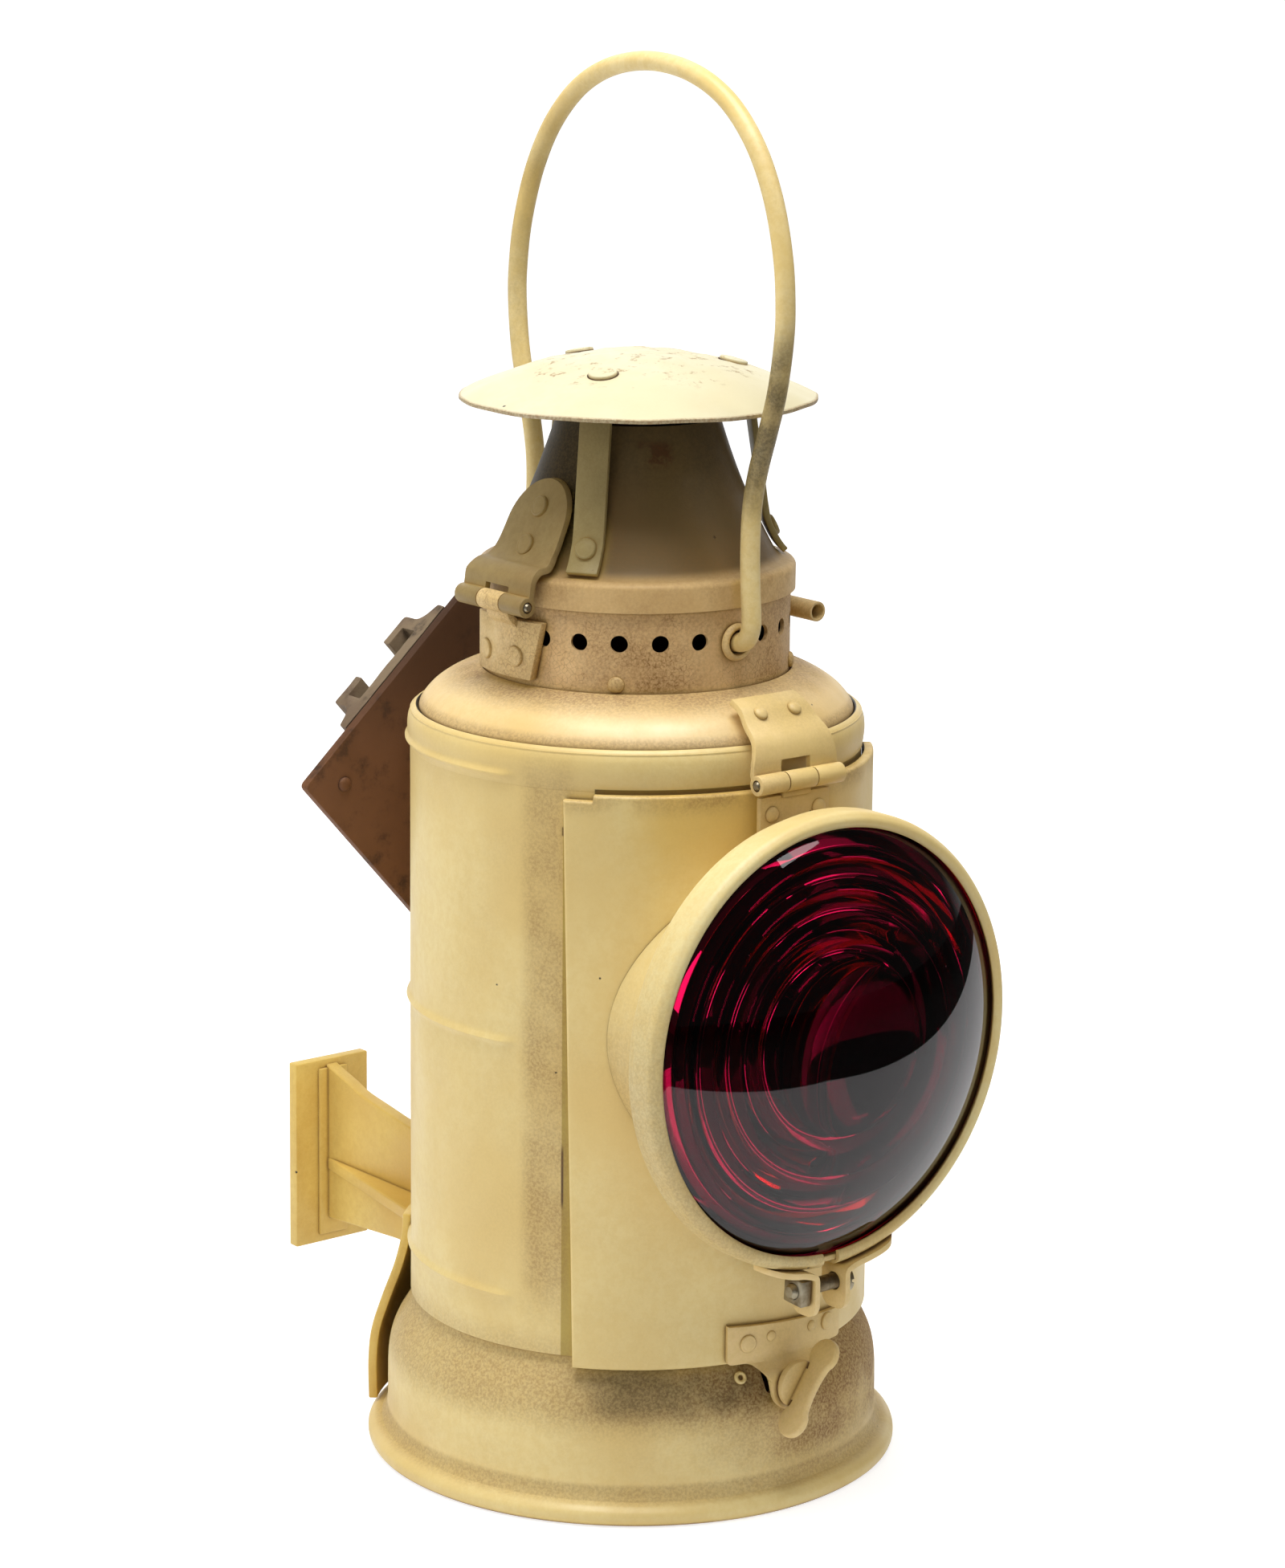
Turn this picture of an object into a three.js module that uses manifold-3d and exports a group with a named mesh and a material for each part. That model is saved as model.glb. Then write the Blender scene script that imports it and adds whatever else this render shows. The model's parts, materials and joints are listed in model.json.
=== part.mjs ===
// Railway signal lamp: an oil-burning lamp with one big red stepped lens in a door that swings up,
// a ventilated head under a tilting lid, a wire bail, and two brackets on its back.
// Millimetres, +Z up. The lens faces -Y. The origin is on the lamp's axis, on the surface it stands on.
import * as THREE from "three";
import { mergeVertices } from "three/addons/utils/BufferGeometryUtils.js";
import Module from "manifold-3d";

const wasm = await Module();
wasm.setup();

// ---- driving dimensions -------------------------------------------------------------------------

const GAP = 0.3; // between pieces that touch on the real lamp
const BIG = 400; // longer than the lamp is wide, for cutting tools
const ROUND = 32; // facets of a large turned piece
const INNER_ROUND = 20; // facets of a turned piece inside the body
const SMALL_ROUND = 12; // facets of a small turned piece

const BODY = { radius: 72.8, wall: 1.4, bottom: 50.4, top: 244.4 };
const BASE = { rimRadius: 86.8, rimHeight: 6.5, shellRadius: 80.4, wall: 1.5, plate: 1.6 };
const BAND = { inner: 73.1, outer: 74.7, bottom: 232.6, top: 246 };
const SHOULDER = { outer: 70.1, inner: 49.9, bottom: 246.3, top: 258.8, wall: 1.4 };
const DRUM = { radius: 49.3, wall: 1.3, bottom: 251, top: 289.5, flange: 54 };
const VENT = { count: 24, radius: 2.8, height: 274.4 };
const PIVOT = { height: 273.5, hole: 3.9, flange: 6, bore: 4.9 };

const DOOR = { inner: 75, outer: 76.6, lip: 73.3, halfAngle: 55.7, bottom: 47.9, top: 232.1, edge: 1.4 };
const DOOR_NOTCH = { angle: -48.5, drop: 1.9 };
const OPENING = { halfAngle: 50, bottom: 62, top: 222 };
const LENS = { height: 155, radius: 68.3, rimBack: 92.2, rimFront: 97.4, crown: 21.6, tunnel: 52.4 };
const COLLAR = { outer: 70.6, inner: 68.9, back: 85, front: 98 };
const BEZEL = { inner: 70.9, outer: 72.4, back: 90, front: 99.6, lip: 67.6, gap: 6 };
const CLAMP = { y: -94.6, z: 76, legEnd: 67.2 };

const HINGE = { knuckle: 3.2, pin: 1.5, bore: 1.8, leaf: 1.9, width: 34, third: 5.9, tongue: 11.2 };
const DOOR_HINGE = { y: -80.6, z: 235.2 };
const LID_HINGE = { x: -57, z: 285.6 };

const SKIRT = { inner: 49.8, outer: 50.9, bottom: 284.4, top: 293.9 };
const CAP = { radius: 57.2, rim: 345, crown: 14, wall: 1.2, rivetRadius: 30.5 };
const STRAP = { width: 10.5, thickness: 2, count: 3, firstAngle: -60 };

const BAIL = { wire: 3.15, halfWidth: 67.8, top: 451.5, lean: 1.7, head: 4.6 };

const LATCH = { height: 40.2, tabRadius: 8.8, tabBack: 81, tabFront: 82.7, bore: 3.5 };
const LATCH_PLATE = { from: -16.1, to: 19, bottom: 48.2, top: 61, rivets: [-10.9, -4.6, 7.8, 13.5] };
const WING = { tilt: 34, reach: 11.3, lobe: 5.6, thickness: 2.6, out: 6.6 };
const CAM = { back: 67, front: 69.4, reach: 6.5, halfWidth: 2.6, slotX: 7.5, slotLow: 36.5, slotHigh: 44 };
const PLATE = { side: 105, thickness: 3.6, face: 80, height: 209, turn: 42 };
const SOCKET = { width: 54, inner: 30, mouth: 15, base: 4.5, depth: 7, lip: 3.2, wall: 4.5, length: 62 };
const FLANGE = { width: 31, thickness: 4.5, back: 176.5, bottom: 19.6, top: 87 };
const FOOT = { halfAngle: 46, wall: 3 };
const FOUNT = { radius: 44, bottom: 1.9, top: 82, wall: 1.2, neck: 17 };
const FILLER = { x: 0, y: 33, hole: 6, flange: 8.5 };
const BURNER = { bottom: 87.6, top: 108, tubeTop: 136, tubeX: 10, tubeY: 3.4 };
const KNOB = { y: -6, z: 100 };
const TUBE = { x: 56, z: 272.8 };

// ---- materials ----------------------------------------------------------------------------------

function material(color, roughness, metalness) {
  return new THREE.MeshStandardMaterial({ color, roughness, metalness });
}
const cream = material(0xd9cb92, 0.5, 0.1);
const sooty = material(0x6b6140, 0.6, 0.1);
const rust = material(0x5a3a26, 0.8, 0.3);
const castIron = material(0x50443c, 0.8, 0.4);
const steel = material(0x8a8678, 0.5, 0.8);
const brass = material(0xa58a4e, 0.4, 0.9);
const tinplate = material(0x9a9a90, 0.4, 0.9);
const redGlass = new THREE.MeshStandardMaterial({
  color: 0x5a0412,
  roughness: 0.1,
  metalness: 0,
  transparent: true,
  opacity: 0.8,
});
const rubber = material(0x161412, 0.8, 0);
const cotton = material(0xd8d0b8, 0.9, 0);

// ---- small geometry tools -----------------------------------------------------------------------

const radians = THREE.MathUtils.degToRad;

function toSolid(geometry) {
  const bare = geometry.clone();
  bare.deleteAttribute("normal");
  bare.deleteAttribute("uv");
  const merged = mergeVertices(bare, 1e-4);
  const index = merged.index.array;
  const triangles = [];
  for (let i = 0; i < index.length; i += 3) {
    const [a, b, c] = [index[i], index[i + 1], index[i + 2]];
    if (a !== b && b !== c && c !== a) triangles.push(a, b, c);
  }
  return new wasm.Manifold(
    new wasm.Mesh({
      numProp: 3,
      vertProperties: merged.attributes.position.array,
      triVerts: new Uint32Array(triangles),
    }),
  );
}

function toGeometry(solid) {
  const mesh = solid.getMesh();
  const geometry = new THREE.BufferGeometry();
  geometry.setAttribute("position", new THREE.BufferAttribute(mesh.vertProperties, 3));
  geometry.setIndex(new THREE.BufferAttribute(mesh.triVerts, 1));
  geometry.computeVertexNormals();
  return geometry;
}

function join(...geometries) {
  return toGeometry(geometries.map(toSolid).reduce((all, one) => all.add(one)));
}

function cut(geometry, ...tools) {
  return toGeometry(tools.map(toSolid).reduce((left, tool) => left.subtract(tool), toSolid(geometry)));
}

function common(geometry, tool) {
  return toGeometry(toSolid(geometry).intersect(toSolid(tool)));
}

// A closed [radius, height] outline turned about the Z axis.
function turned(outline, facets = ROUND) {
  const area = outline.reduce((sum, [x, y], i) => {
    const [nextX, nextY] = outline[(i + 1) % outline.length];
    return sum + x * nextY - nextX * y;
  }, 0);
  const ordered = area > 0 ? outline : [...outline].reverse();
  const points = [...ordered, ordered[0]].map(([r, z]) => new THREE.Vector2(r, z));
  return new THREE.LatheGeometry(points, facets).rotateX(Math.PI / 2);
}

// The same outline turned about the lens axis: [radius, distance in front of the lamp's axis].
function turnedForward(outline, facets = ROUND) {
  return turned(outline, facets).rotateX(Math.PI / 2);
}

// A [radius, height] line given a wall thickness on its inner side, ready to be turned.
function shellOutline(line, wall) {
  const inner = line.map(([r, z], i) => {
    const [r0, z0] = line[Math.max(i - 1, 0)];
    const [r1, z1] = line[Math.min(i + 1, line.length - 1)];
    const length = Math.hypot(r1 - r0, z1 - z0);
    return [r - (wall * (z1 - z0)) / length, z + (wall * (r1 - r0)) / length];
  });
  return [...line, ...inner.reverse()];
}

function polygon(points) {
  return new THREE.Shape(points.map(([x, y]) => new THREE.Vector2(x, y)));
}

// A flat [x, y] outline with a thickness along Z, starting at z.
function slab(points, z, height) {
  const settings = { depth: height, bevelEnabled: false };
  return new THREE.ExtrudeGeometry(polygon(points), settings).translate(0, 0, z);
}

// An [x, z] outline extruded along Y, centred on y = 0.
function acrossY(points, width) {
  return slab(points, -width / 2, width).rotateX(Math.PI / 2);
}

// A [y, z] outline extruded along X, centred on x = 0.
function acrossX(points, width) {
  return slab(points, -width / 2, width).rotateX(Math.PI / 2).rotateZ(Math.PI / 2);
}

// A bent strip: a line of points with the thickness shared to both sides.
function strip(line, thickness) {
  const side = (sign) =>
    line.map(([x, y], i) => {
      const [x0, y0] = line[Math.max(i - 1, 0)];
      const [x1, y1] = line[Math.min(i + 1, line.length - 1)];
      const length = Math.hypot(x1 - x0, y1 - y0);
      const reach = (sign * thickness) / 2 / length;
      return [x - reach * (y1 - y0), y + reach * (x1 - x0)];
    });
  return [...side(-1), ...side(1).reverse()];
}

// Angles are measured from the lens direction (-Y), positive towards +X.
function around(radius, degrees) {
  return [radius * Math.sin(radians(degrees)), -radius * Math.cos(radians(degrees))];
}

function arc(radius, from, to, steps) {
  return Array.from({ length: steps + 1 }, (_, i) => around(radius, from + ((to - from) * i) / steps));
}

// Part of an upright tube between two radii, two angles and two heights.
function sector(inner, outer, from, to, bottom, top, steps = 16) {
  const outline = [...arc(outer, from, to, steps), ...arc(inner, to, from, steps)];
  return slab(outline, bottom, top - bottom);
}

// A pie slice of everything between two angles.
function wedge(from, to) {
  return slab([[0, 0], ...arc(BIG, from, to, 12)], -BIG, 2 * BIG);
}

function box(x0, x1, y0, y1, z0, z1) {
  const geometry = new THREE.BoxGeometry(x1 - x0, y1 - y0, z1 - z0);
  return geometry.translate((x0 + x1) / 2, (y0 + y1) / 2, (z0 + z1) / 2);
}

function rodZ(radius, bottom, top, facets = ROUND) {
  const geometry = new THREE.CylinderGeometry(radius, radius, top - bottom, facets);
  return geometry.rotateX(Math.PI / 2).translate(0, 0, (bottom + top) / 2);
}

function rodY(radius, y0, y1, facets = SMALL_ROUND) {
  return new THREE.CylinderGeometry(radius, radius, y1 - y0, facets).translate(0, (y0 + y1) / 2, 0);
}

function rodX(radius, x0, x1, facets = SMALL_ROUND) {
  const geometry = new THREE.CylinderGeometry(radius, radius, x1 - x0, facets);
  return geometry.rotateZ(Math.PI / 2).translate((x0 + x1) / 2, 0, 0);
}

// A low domed rivet head whose foot is at the origin and which points along -Y.
function rivetHead(radius, height) {
  const outline = [
    [0, -1],
    [radius, -1],
    [radius, height * 0.4],
    [radius * 0.6, height],
    [0, height],
  ];
  return turnedForward(outline, 8);
}

function piece(name, geometry, look) {
  const mesh = new THREE.Mesh(geometry, look);
  mesh.name = name;
  return mesh;
}

function group(...children) {
  const holder = new THREE.Group();
  holder.add(...children);
  return holder;
}

// ---- base ---------------------------------------------------------------------------------------

const baseLine = [
  [BASE.shellRadius, 9],
  [BASE.shellRadius, 27],
  [78.4, 36.8],
  [74.4, 43.6],
  [71.4, 48],
];

function baseShell() {
  const wall = shellOutline(baseLine, BASE.wall);
  const spigot = BODY.radius - BODY.wall - GAP;
  const inner = wall.slice(baseLine.length);
  const outline = [
    [BASE.shellRadius - BASE.wall, 0],
    [BASE.rimRadius - 1.4, 0],
    [BASE.rimRadius, 1.6],
    [BASE.rimRadius, BASE.rimHeight - 2.2],
    [BASE.rimRadius - 2.2, BASE.rimHeight],
    ...baseLine,
    [spigot, 55],
    [spigot - BASE.wall, 55],
    ...inner.slice(0, -1).map(([r, z]) => [Math.min(r, BASE.shellRadius - BASE.wall), z]),
  ];
  const slot = box(-CAM.slotX, CAM.slotX, -BASE.rimRadius, -60, CAM.slotLow, CAM.slotHigh);
  return cut(turned(outline), slot);
}

function basePlate() {
  const radius = BASE.shellRadius - BASE.wall - GAP;
  return turned([
    [0, 0],
    [radius, 0],
    [radius, 6],
    [radius - BASE.plate, 6],
    [radius - BASE.plate, BASE.plate],
    [0, BASE.plate],
  ]);
}

function fountRing() {
  const inner = FOUNT.radius + 1;
  return turned([
    [inner, BASE.plate + GAP],
    [inner + 6, BASE.plate + GAP],
    [inner + 6, BASE.plate + 1.4],
    [inner + 1.5, BASE.plate + 1.4],
    [inner + 1.5, 10],
    [inner, 10],
  ]);
}

// ---- body ---------------------------------------------------------------------------------------

function bodyShell() {
  const inner = BODY.radius - BODY.wall;
  const tube = turned([
    [inner, BODY.bottom],
    [BODY.radius, BODY.bottom],
    [BODY.radius, BODY.top],
    [inner, BODY.top],
  ]);
  const { halfAngle, bottom, top } = OPENING;
  return cut(tube, sector(50, BODY.radius + 5, -halfAngle, halfAngle, bottom, top));
}

function bodyBand() {
  return turned([
    [BAND.inner, BAND.bottom],
    [BAND.outer, BAND.bottom],
    [BAND.outer, 242],
    [BAND.outer - 1.6, 245.2],
    [BAND.outer - 4.2, BAND.top],
    [BAND.outer - 4.2, BAND.top - 1],
    [BAND.inner, BODY.top],
  ]);
}

const shoulderLine = [
  [SHOULDER.outer, SHOULDER.bottom],
  [69, 250.6],
  [64.5, 255.5],
  [57, 258.3],
  [SHOULDER.inner, SHOULDER.top],
];

function shoulder() {
  return turned(shellOutline(shoulderLine, SHOULDER.wall));
}

function ventDrum() {
  const inner = DRUM.radius - DRUM.wall;
  const wall = turned([
    [inner, DRUM.bottom],
    [DRUM.flange, DRUM.bottom],
    [DRUM.flange, DRUM.bottom + 1.3],
    [DRUM.radius, DRUM.bottom + 1.3],
    [DRUM.radius, DRUM.top],
    [inner, DRUM.top],
  ]);
  const holes = [];
  for (let i = 0; i < VENT.count; i++) {
    const atPivot = i % (VENT.count / 2) === 0;
    const radius = atPivot ? PIVOT.bore : VENT.radius;
    const height = atPivot ? PIVOT.height : VENT.height;
    const drill = rodY(radius, -DRUM.radius - 5, -DRUM.radius + 8, atPivot ? SMALL_ROUND : 8);
    holes.push(drill.rotateZ((i * 2 * Math.PI) / VENT.count).translate(0, 0, height));
  }
  const rivets = [45, 135, 225, 315].map((degrees) =>
    rivetHead(2.6, 1.6).translate(0, -DRUM.radius, 263).rotateZ(radians(degrees)),
  );
  return join(cut(wall, ...holes), ...rivets);
}

// A flanged bush in the drum's wall that the bail's end turns in.
function eyelet() {
  const seat = DRUM.radius + 0.6;
  return turnedForward(
    [
      [PIVOT.hole, DRUM.radius - 2.6],
      [PIVOT.bore - GAP, DRUM.radius - 2.6],
      [PIVOT.bore - GAP, seat],
      [PIVOT.flange, seat],
      [PIVOT.flange, seat + 1.2],
      [PIVOT.hole + 0.9, seat + 2.2],
      [PIVOT.hole, seat + 1.8],
    ],
    SMALL_ROUND,
  );
}

function sideTube() {
  return turned(
    [
      [2.4, -22],
      [3.3, -22],
      [3.3, 24],
      [2.4, 24],
    ],
    SMALL_ROUND,
  ).rotateX(Math.PI / 2);
}

function tubeClip() {
  const loop = cut(join(rodY(5.2, -5, 5), box(-6.4, 0, -5, 5, -5.2, 5.2)), rodY(3.6, -6, 6));
  return cut(loop.translate(TUBE.x, 0, TUBE.z), rodZ(DRUM.radius + GAP, 250, 300));
}

// ---- hinges -------------------------------------------------------------------------------------

// Knuckles along X around the origin: the two outer ones, or the middle one.
function knuckles(outer) {
  const { knuckle, third, width } = HINGE;
  if (!outer) return rodX(knuckle, -third + GAP, third - GAP);
  return join(rodX(knuckle, -width / 2, -third), rodX(knuckle, third, width / 2));
}

function hingePin() {
  const half = HINGE.width / 2 + 0.6;
  return rodX(HINGE.pin, -half, half);
}

// A leaf is a bent strip that ends on its knuckles; the pin's bore is drilled last.
function leaf(stripGeometry, outer, trims) {
  const bore = rodX(HINGE.bore, -HINGE.width, HINGE.width);
  const trimmed = trims.length ? cut(stripGeometry, ...trims) : stripGeometry;
  return cut(join(trimmed, knuckles(outer)), bore);
}

function middleClearance(depth) {
  const { third, knuckle } = HINGE;
  return box(-third, third, -depth, depth, -knuckle - 1.5, knuckle + 1.8);
}

// Local frame of the door hinge: the pin along X, outwards is -Y.
function doorHingeUpperLeaf() {
  const at = ([y, z]) => [y - DOOR_HINGE.y, z - DOOR_HINGE.z];
  const line = [
    [-62.5, 258.1],
    [-67.6, 255.9],
    [-71.6, 251.9],
    [-76.4, 248],
    [-78, 243.6],
    [-78.2, 238.6],
    [-79, 236.4],
  ].map(at);
  const bent = acrossX(strip(line, HINGE.leaf), HINGE.width);
  const heads = [-9, 9].map((x) => {
    const [y, z] = at([-69.4, 254.6]);
    return rivetHead(2.4, 1.5).rotateX(radians(-38)).translate(x, y, z);
  });
  return leaf(join(bent, ...heads), true, [middleClearance(6)]);
}

function doorHingeLowerLeaf() {
  const at = ([y, z]) => [y - DOOR_HINGE.y, z - DOOR_HINGE.z];
  const line = [
    [-78.1, 213],
    [-78.1, 229.5],
    [-78.6, 232.6],
  ].map(at);
  const bent = acrossX(strip(line, HINGE.leaf), 28);
  const shoulders = [-1, 1].map((side) => {
    const x = side * 10;
    return box(x - 4.4, x + 4.4, -4, 8, -4.6, 4);
  });
  const tongue = box(-HINGE.tongue / 2, HINGE.tongue / 2, 0.6, 2.6, -4.5, 0);
  const heads = [-9.5, 9.5].map((x) => {
    const [y, z] = at([-78.8, 225]);
    return rivetHead(2.6, 1.4).translate(x, y, z);
  });
  return leaf(join(cut(bent, ...shoulders), tongue, ...heads), false, []);
}

// Local frame of the lid hinge before it is turned to the lamp's side: the pin along X, outwards -Y.
function lidHingeUpperLeaf() {
  const at = ([r, z]) => [-(r + LID_HINGE.x), z - LID_HINGE.z];
  const line = [
    [33, 323],
    [39.6, 309.6],
    [43.8, 301.2],
    [47.6, 296.8],
    [51.4, 296],
    [54.4, 293.4],
    [55.2, 289.6],
    [55.6, 287.6],
  ].map(at);
  const bent = acrossX(strip(line, HINGE.leaf), HINGE.width + 2);
  const top = 322 - LID_HINGE.z;
  const crown = Array.from({ length: 13 }, (_, i) => {
    const angle = (Math.PI * i) / 12;
    return [14 * Math.cos(angle), top - 14 + 14 * Math.sin(angle)];
  });
  const half = HINGE.width / 2;
  const outline = [[-half, -5], [half, -5], [half, 8], ...crown, [-half, 8]];
  const shape = acrossY(outline, 80);
  const heads = [
    [36.4, 316, 26],
    [42.6, 303.6, 26],
  ].map(([r, z, tilt]) => {
    const [y, height] = at([r + 0.7, z]);
    return rivetHead(3, 1.5).rotateX(radians(-tilt)).translate(0, y, height);
  });
  return leaf(join(common(bent, shape), ...heads), true, [middleClearance(7)]);
}

function lidHingeLowerLeaf() {
  const at = ([r, z]) => [-(r + LID_HINGE.x), z - LID_HINGE.z];
  const inner = DRUM.radius + GAP;
  const pad = sector(inner, inner + 3.4, -19.5, 19.5, 261, 279.6, 10);
  const line = [
    [55.4, 284],
    [54.6, 280.6],
    [51.6, 277.6],
    [51.2, 272],
  ].map(at);
  const tongue = acrossX(strip(line, 2.2), HINGE.tongue);
  const heads = [-12, 5.4].map((degrees) =>
    rivetHead(3.3, 1.3).translate(0, -inner - 3.4, 268).rotateZ(radians(degrees)),
  );
  const onDrum = join(pad, ...heads).translate(0, -LID_HINGE.x, -LID_HINGE.z);
  return leaf(join(onDrum, tongue), false, []);
}

// ---- door ---------------------------------------------------------------------------------------

function doorPanel() {
  const { inner, outer, lip, halfAngle, bottom, top, edge } = DOOR;
  const edgeAngle = halfAngle - 1.1;
  const block = sector(lip, outer, -halfAngle, halfAngle, bottom, top);
  const hollow = sector(lip - 10, inner, -edgeAngle, edgeAngle, bottom + edge, top - edge);
  const hole = rodY(LENS.tunnel, -BIG, 0, ROUND).translate(0, 0, LENS.height);
  const { angle, drop } = DOOR_NOTCH;
  const cornerStep = sector(lip - 5, outer + 5, -halfAngle - 2, angle, top - drop, top + 5, 6);
  return cut(block, hollow, hole, cornerStep);
}

function lensCollar() {
  const { outer, inner, back, front } = COLLAR;
  const neck = LENS.tunnel + 1.8;
  const cup = turnedForward([
    [LENS.tunnel, 40],
    [neck, 40],
    [neck, 78.5],
    [outer, back],
    [outer, front],
    [inner, front],
    [inner, back + 3.6],
    [61, back + 3.6],
    [61, back + 1.6],
    [LENS.tunnel, 80.4],
  ]).translate(0, 0, LENS.height);
  return cut(cup, rodZ(DOOR.outer + GAP, 60, 250, 96));
}

function lensGasket() {
  return turnedForward([
    [61.6, COLLAR.back + 3.9],
    [68.4, COLLAR.back + 3.9],
    [68.4, LENS.rimBack - GAP],
    [61.6, LENS.rimBack - GAP],
  ]).translate(0, 0, LENS.height);
}

// Convex outside; inside, a centre plug and four rings that each slope towards the rim.
function lens() {
  const { radius, rimBack, rimFront, crown } = LENS;
  const rim = radius - 1.1;
  const sphere = (rim * rim + crown * crown) / (2 * crown);
  const dome = Array.from({ length: 6 }, (_, i) => {
    const r = rim * (1 - i / 5);
    const drop = sphere - Math.sqrt(sphere * sphere - r * r);
    return [r, rimFront + crown - drop];
  });
  const steps = [0.86, 0.72, 0.57, 0.39].flatMap((share) => [
    [radius * share + 0.6, rimBack],
    [radius * share, rimBack + 6],
  ]);
  return turnedForward([
    ...dome.reverse(),
    [radius, rimFront - 0.3],
    [radius, rimBack],
    ...steps,
    [radius * 0.2, rimBack + 2],
    [0, rimBack + 1],
  ]).translate(0, 0, LENS.height);
}

function bezelBand() {
  const { inner, outer, back, front, lip, gap } = BEZEL;
  const ring = turnedForward([
    [inner, back],
    [outer, back],
    [outer, front - 2.2],
    [outer - 0.9, front - 0.7],
    [outer - 2.4, front],
    [lip + 0.8, front - 0.2],
    [lip, front - 0.9],
    [lip, front - 1.6],
    [inner, front - 1.5],
  ]).translate(0, 0, LENS.height);
  return cut(ring, box(-gap / 2, gap / 2, -BIG, 0, LENS.height - 90, LENS.height - 40));
}

// An L-shaped lug: one leg follows the band, the other hangs down for the clamp screw.
function clampLug(side) {
  const inner = BEZEL.outer + GAP;
  const outer = inner + 2;
  const leg = 5.2;
  const low = CLAMP.legEnd;
  const onBand = (radius, x) => [x, LENS.height - Math.sqrt(radius * radius - x * x)];
  const reach = side > 0 ? [28.4, 22, 16, 10] : [23.6, 19, 14.5, 10];
  const outline = [
    ...reach.map((x) => onBand(outer, x)),
    [leg + 2, LENS.height - outer],
    [leg + 2, low],
    [leg, low],
    [leg, LENS.height - inner],
    ...[...reach].reverse().map((x) => onBand(inner, x)),
  ];
  const bent = acrossY(outline, 11.6);
  const bore = rodX(2.9, 0, 20, 16).translate(0, 0, CLAMP.z);
  const lug = cut(bent, bore).translate(0, CLAMP.y, 0);
  return side > 0 ? lug : toGeometry(toSolid(lug).mirror([1, 0, 0]));
}

function clampScrew() {
  const head = rodX(4.4, 7.6, 10.2, 16);
  return join(rodX(2.5, -13.2, 9, 16), head).translate(0, CLAMP.y, CLAMP.z);
}

function clampNut() {
  const block = box(-11.6, -7.6, -4.3, 4.3, -4.3, 4.3);
  return cut(block, rodX(2.8, -20, 0, 16)).translate(0, CLAMP.y, CLAMP.z);
}

function latchPlate() {
  const { height, tabRadius, tabBack, tabFront, bore } = LATCH;
  const { from, to, bottom, top, rivets } = LATCH_PLATE;
  const back = DOOR.outer + GAP;
  const face = back + 1.8;
  const curved = sector(back, face, from, to, bottom, top, 12);
  const rounding = Array.from({ length: 13 }, (_, i) => {
    const angle = Math.PI + (Math.PI * i) / 12;
    return [tabRadius * Math.cos(angle), height + tabRadius * Math.sin(angle)];
  });
  const fillet = [[tabRadius + 0.6, height + 6.5], [tabRadius + 3, bottom + 2]];
  const mirrored = [...fillet].reverse().map(([x, z]) => [-x, z]);
  const tab = acrossY([...rounding, ...fillet, ...mirrored], tabFront - tabBack);
  const step = box(-tabRadius - 3, tabRadius + 3, -tabFront, -back - 0.5, bottom, bottom + 2);
  const heads = rivets.map((degrees, i) => {
    const radius = i % 3 === 0 ? 2.9 : 1.8;
    return rivetHead(radius, 0.9).translate(0, -face, 55).rotateZ(radians(degrees));
  });
  const hole = rodY(bore, -BIG, 0).translate(0, 0, height);
  return cut(join(curved, step, tab.translate(0, -(tabBack + tabFront) / 2, 0), ...heads), hole);
}

// Thumb turn: a hub with a dumbbell-shaped wing that stands out from it, in front of the tab.
function latchTurn() {
  const { tilt, reach, lobe, thickness, out } = WING;
  const back = LATCH.tabFront + GAP;
  const hub = rodY(7.8, -back - 2.6, -back);
  const end = (side) => rodX(lobe, -thickness / 2, thickness / 2, 16).translate(0, -back - out, side * reach);
  const waist = box(-thickness / 2, thickness / 2, -back - out - 3, -back - 2, -reach, reach);
  const wing = join(end(1), end(-1), waist).rotateY(radians(tilt));
  return join(hub, wing).translate(0, 0, LATCH.height);
}

// Behind the base's wall: the shaft through tab and slot, and the cam on its end, level when released.
function latchCam() {
  const { back, front, reach, halfWidth } = CAM;
  const shaft = rodY(3, -LATCH.tabFront, -front);
  const bar = box(-reach, reach, -front, -back, -halfWidth, halfWidth);
  return join(shaft, bar).translate(0, 0, LATCH.height);
}

// ---- lid ----------------------------------------------------------------------------------------

const coneLine = [
  [46.2, 294.6],
  [41.4, 301],
  [33.8, 317.8],
  [26.2, 339.4],
];

function lidCone() {
  const wall = 1.2;
  const outer = [[SKIRT.outer, SKIRT.bottom], [SKIRT.outer, 291.5], [49.4, SKIRT.top], ...coneLine];
  const inner = [
    [26.2 - wall, 339.4],
    [33.8 - wall, 317.4],
    [41.4 - wall, 300.4],
    [45.6, 293.4],
    [48.8, 292.7],
    [SKIRT.inner, 291],
    [SKIRT.inner, SKIRT.bottom],
  ];
  return turned([...outer, ...inner]);
}

function capHeight(radius) {
  const share = radius / CAP.radius;
  return CAP.rim + CAP.crown * (1 - share * share);
}

function capShape() {
  const radii = [57.2, 46, 34, 20, 0];
  const top = radii.map((r) => [r, capHeight(r) + CAP.wall]);
  const underside = radii.map((r) => [r, capHeight(r)]).reverse();
  return turned([...top, ...underside]);
}

function strapAngle(i) {
  return STRAP.firstAngle + (360 / STRAP.count) * i;
}

function cap() {
  const heads = [];
  for (let i = 0; i < STRAP.count; i++) {
    const head = rivetHead(3.4, 1.4).rotateX(radians(-78));
    const seated = head.translate(0, -CAP.rivetRadius, capHeight(CAP.rivetRadius) + CAP.wall - 0.2);
    heads.push(seated.rotateZ(radians(strapAngle(i))));
  }
  return join(capShape(), ...heads);
}

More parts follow.
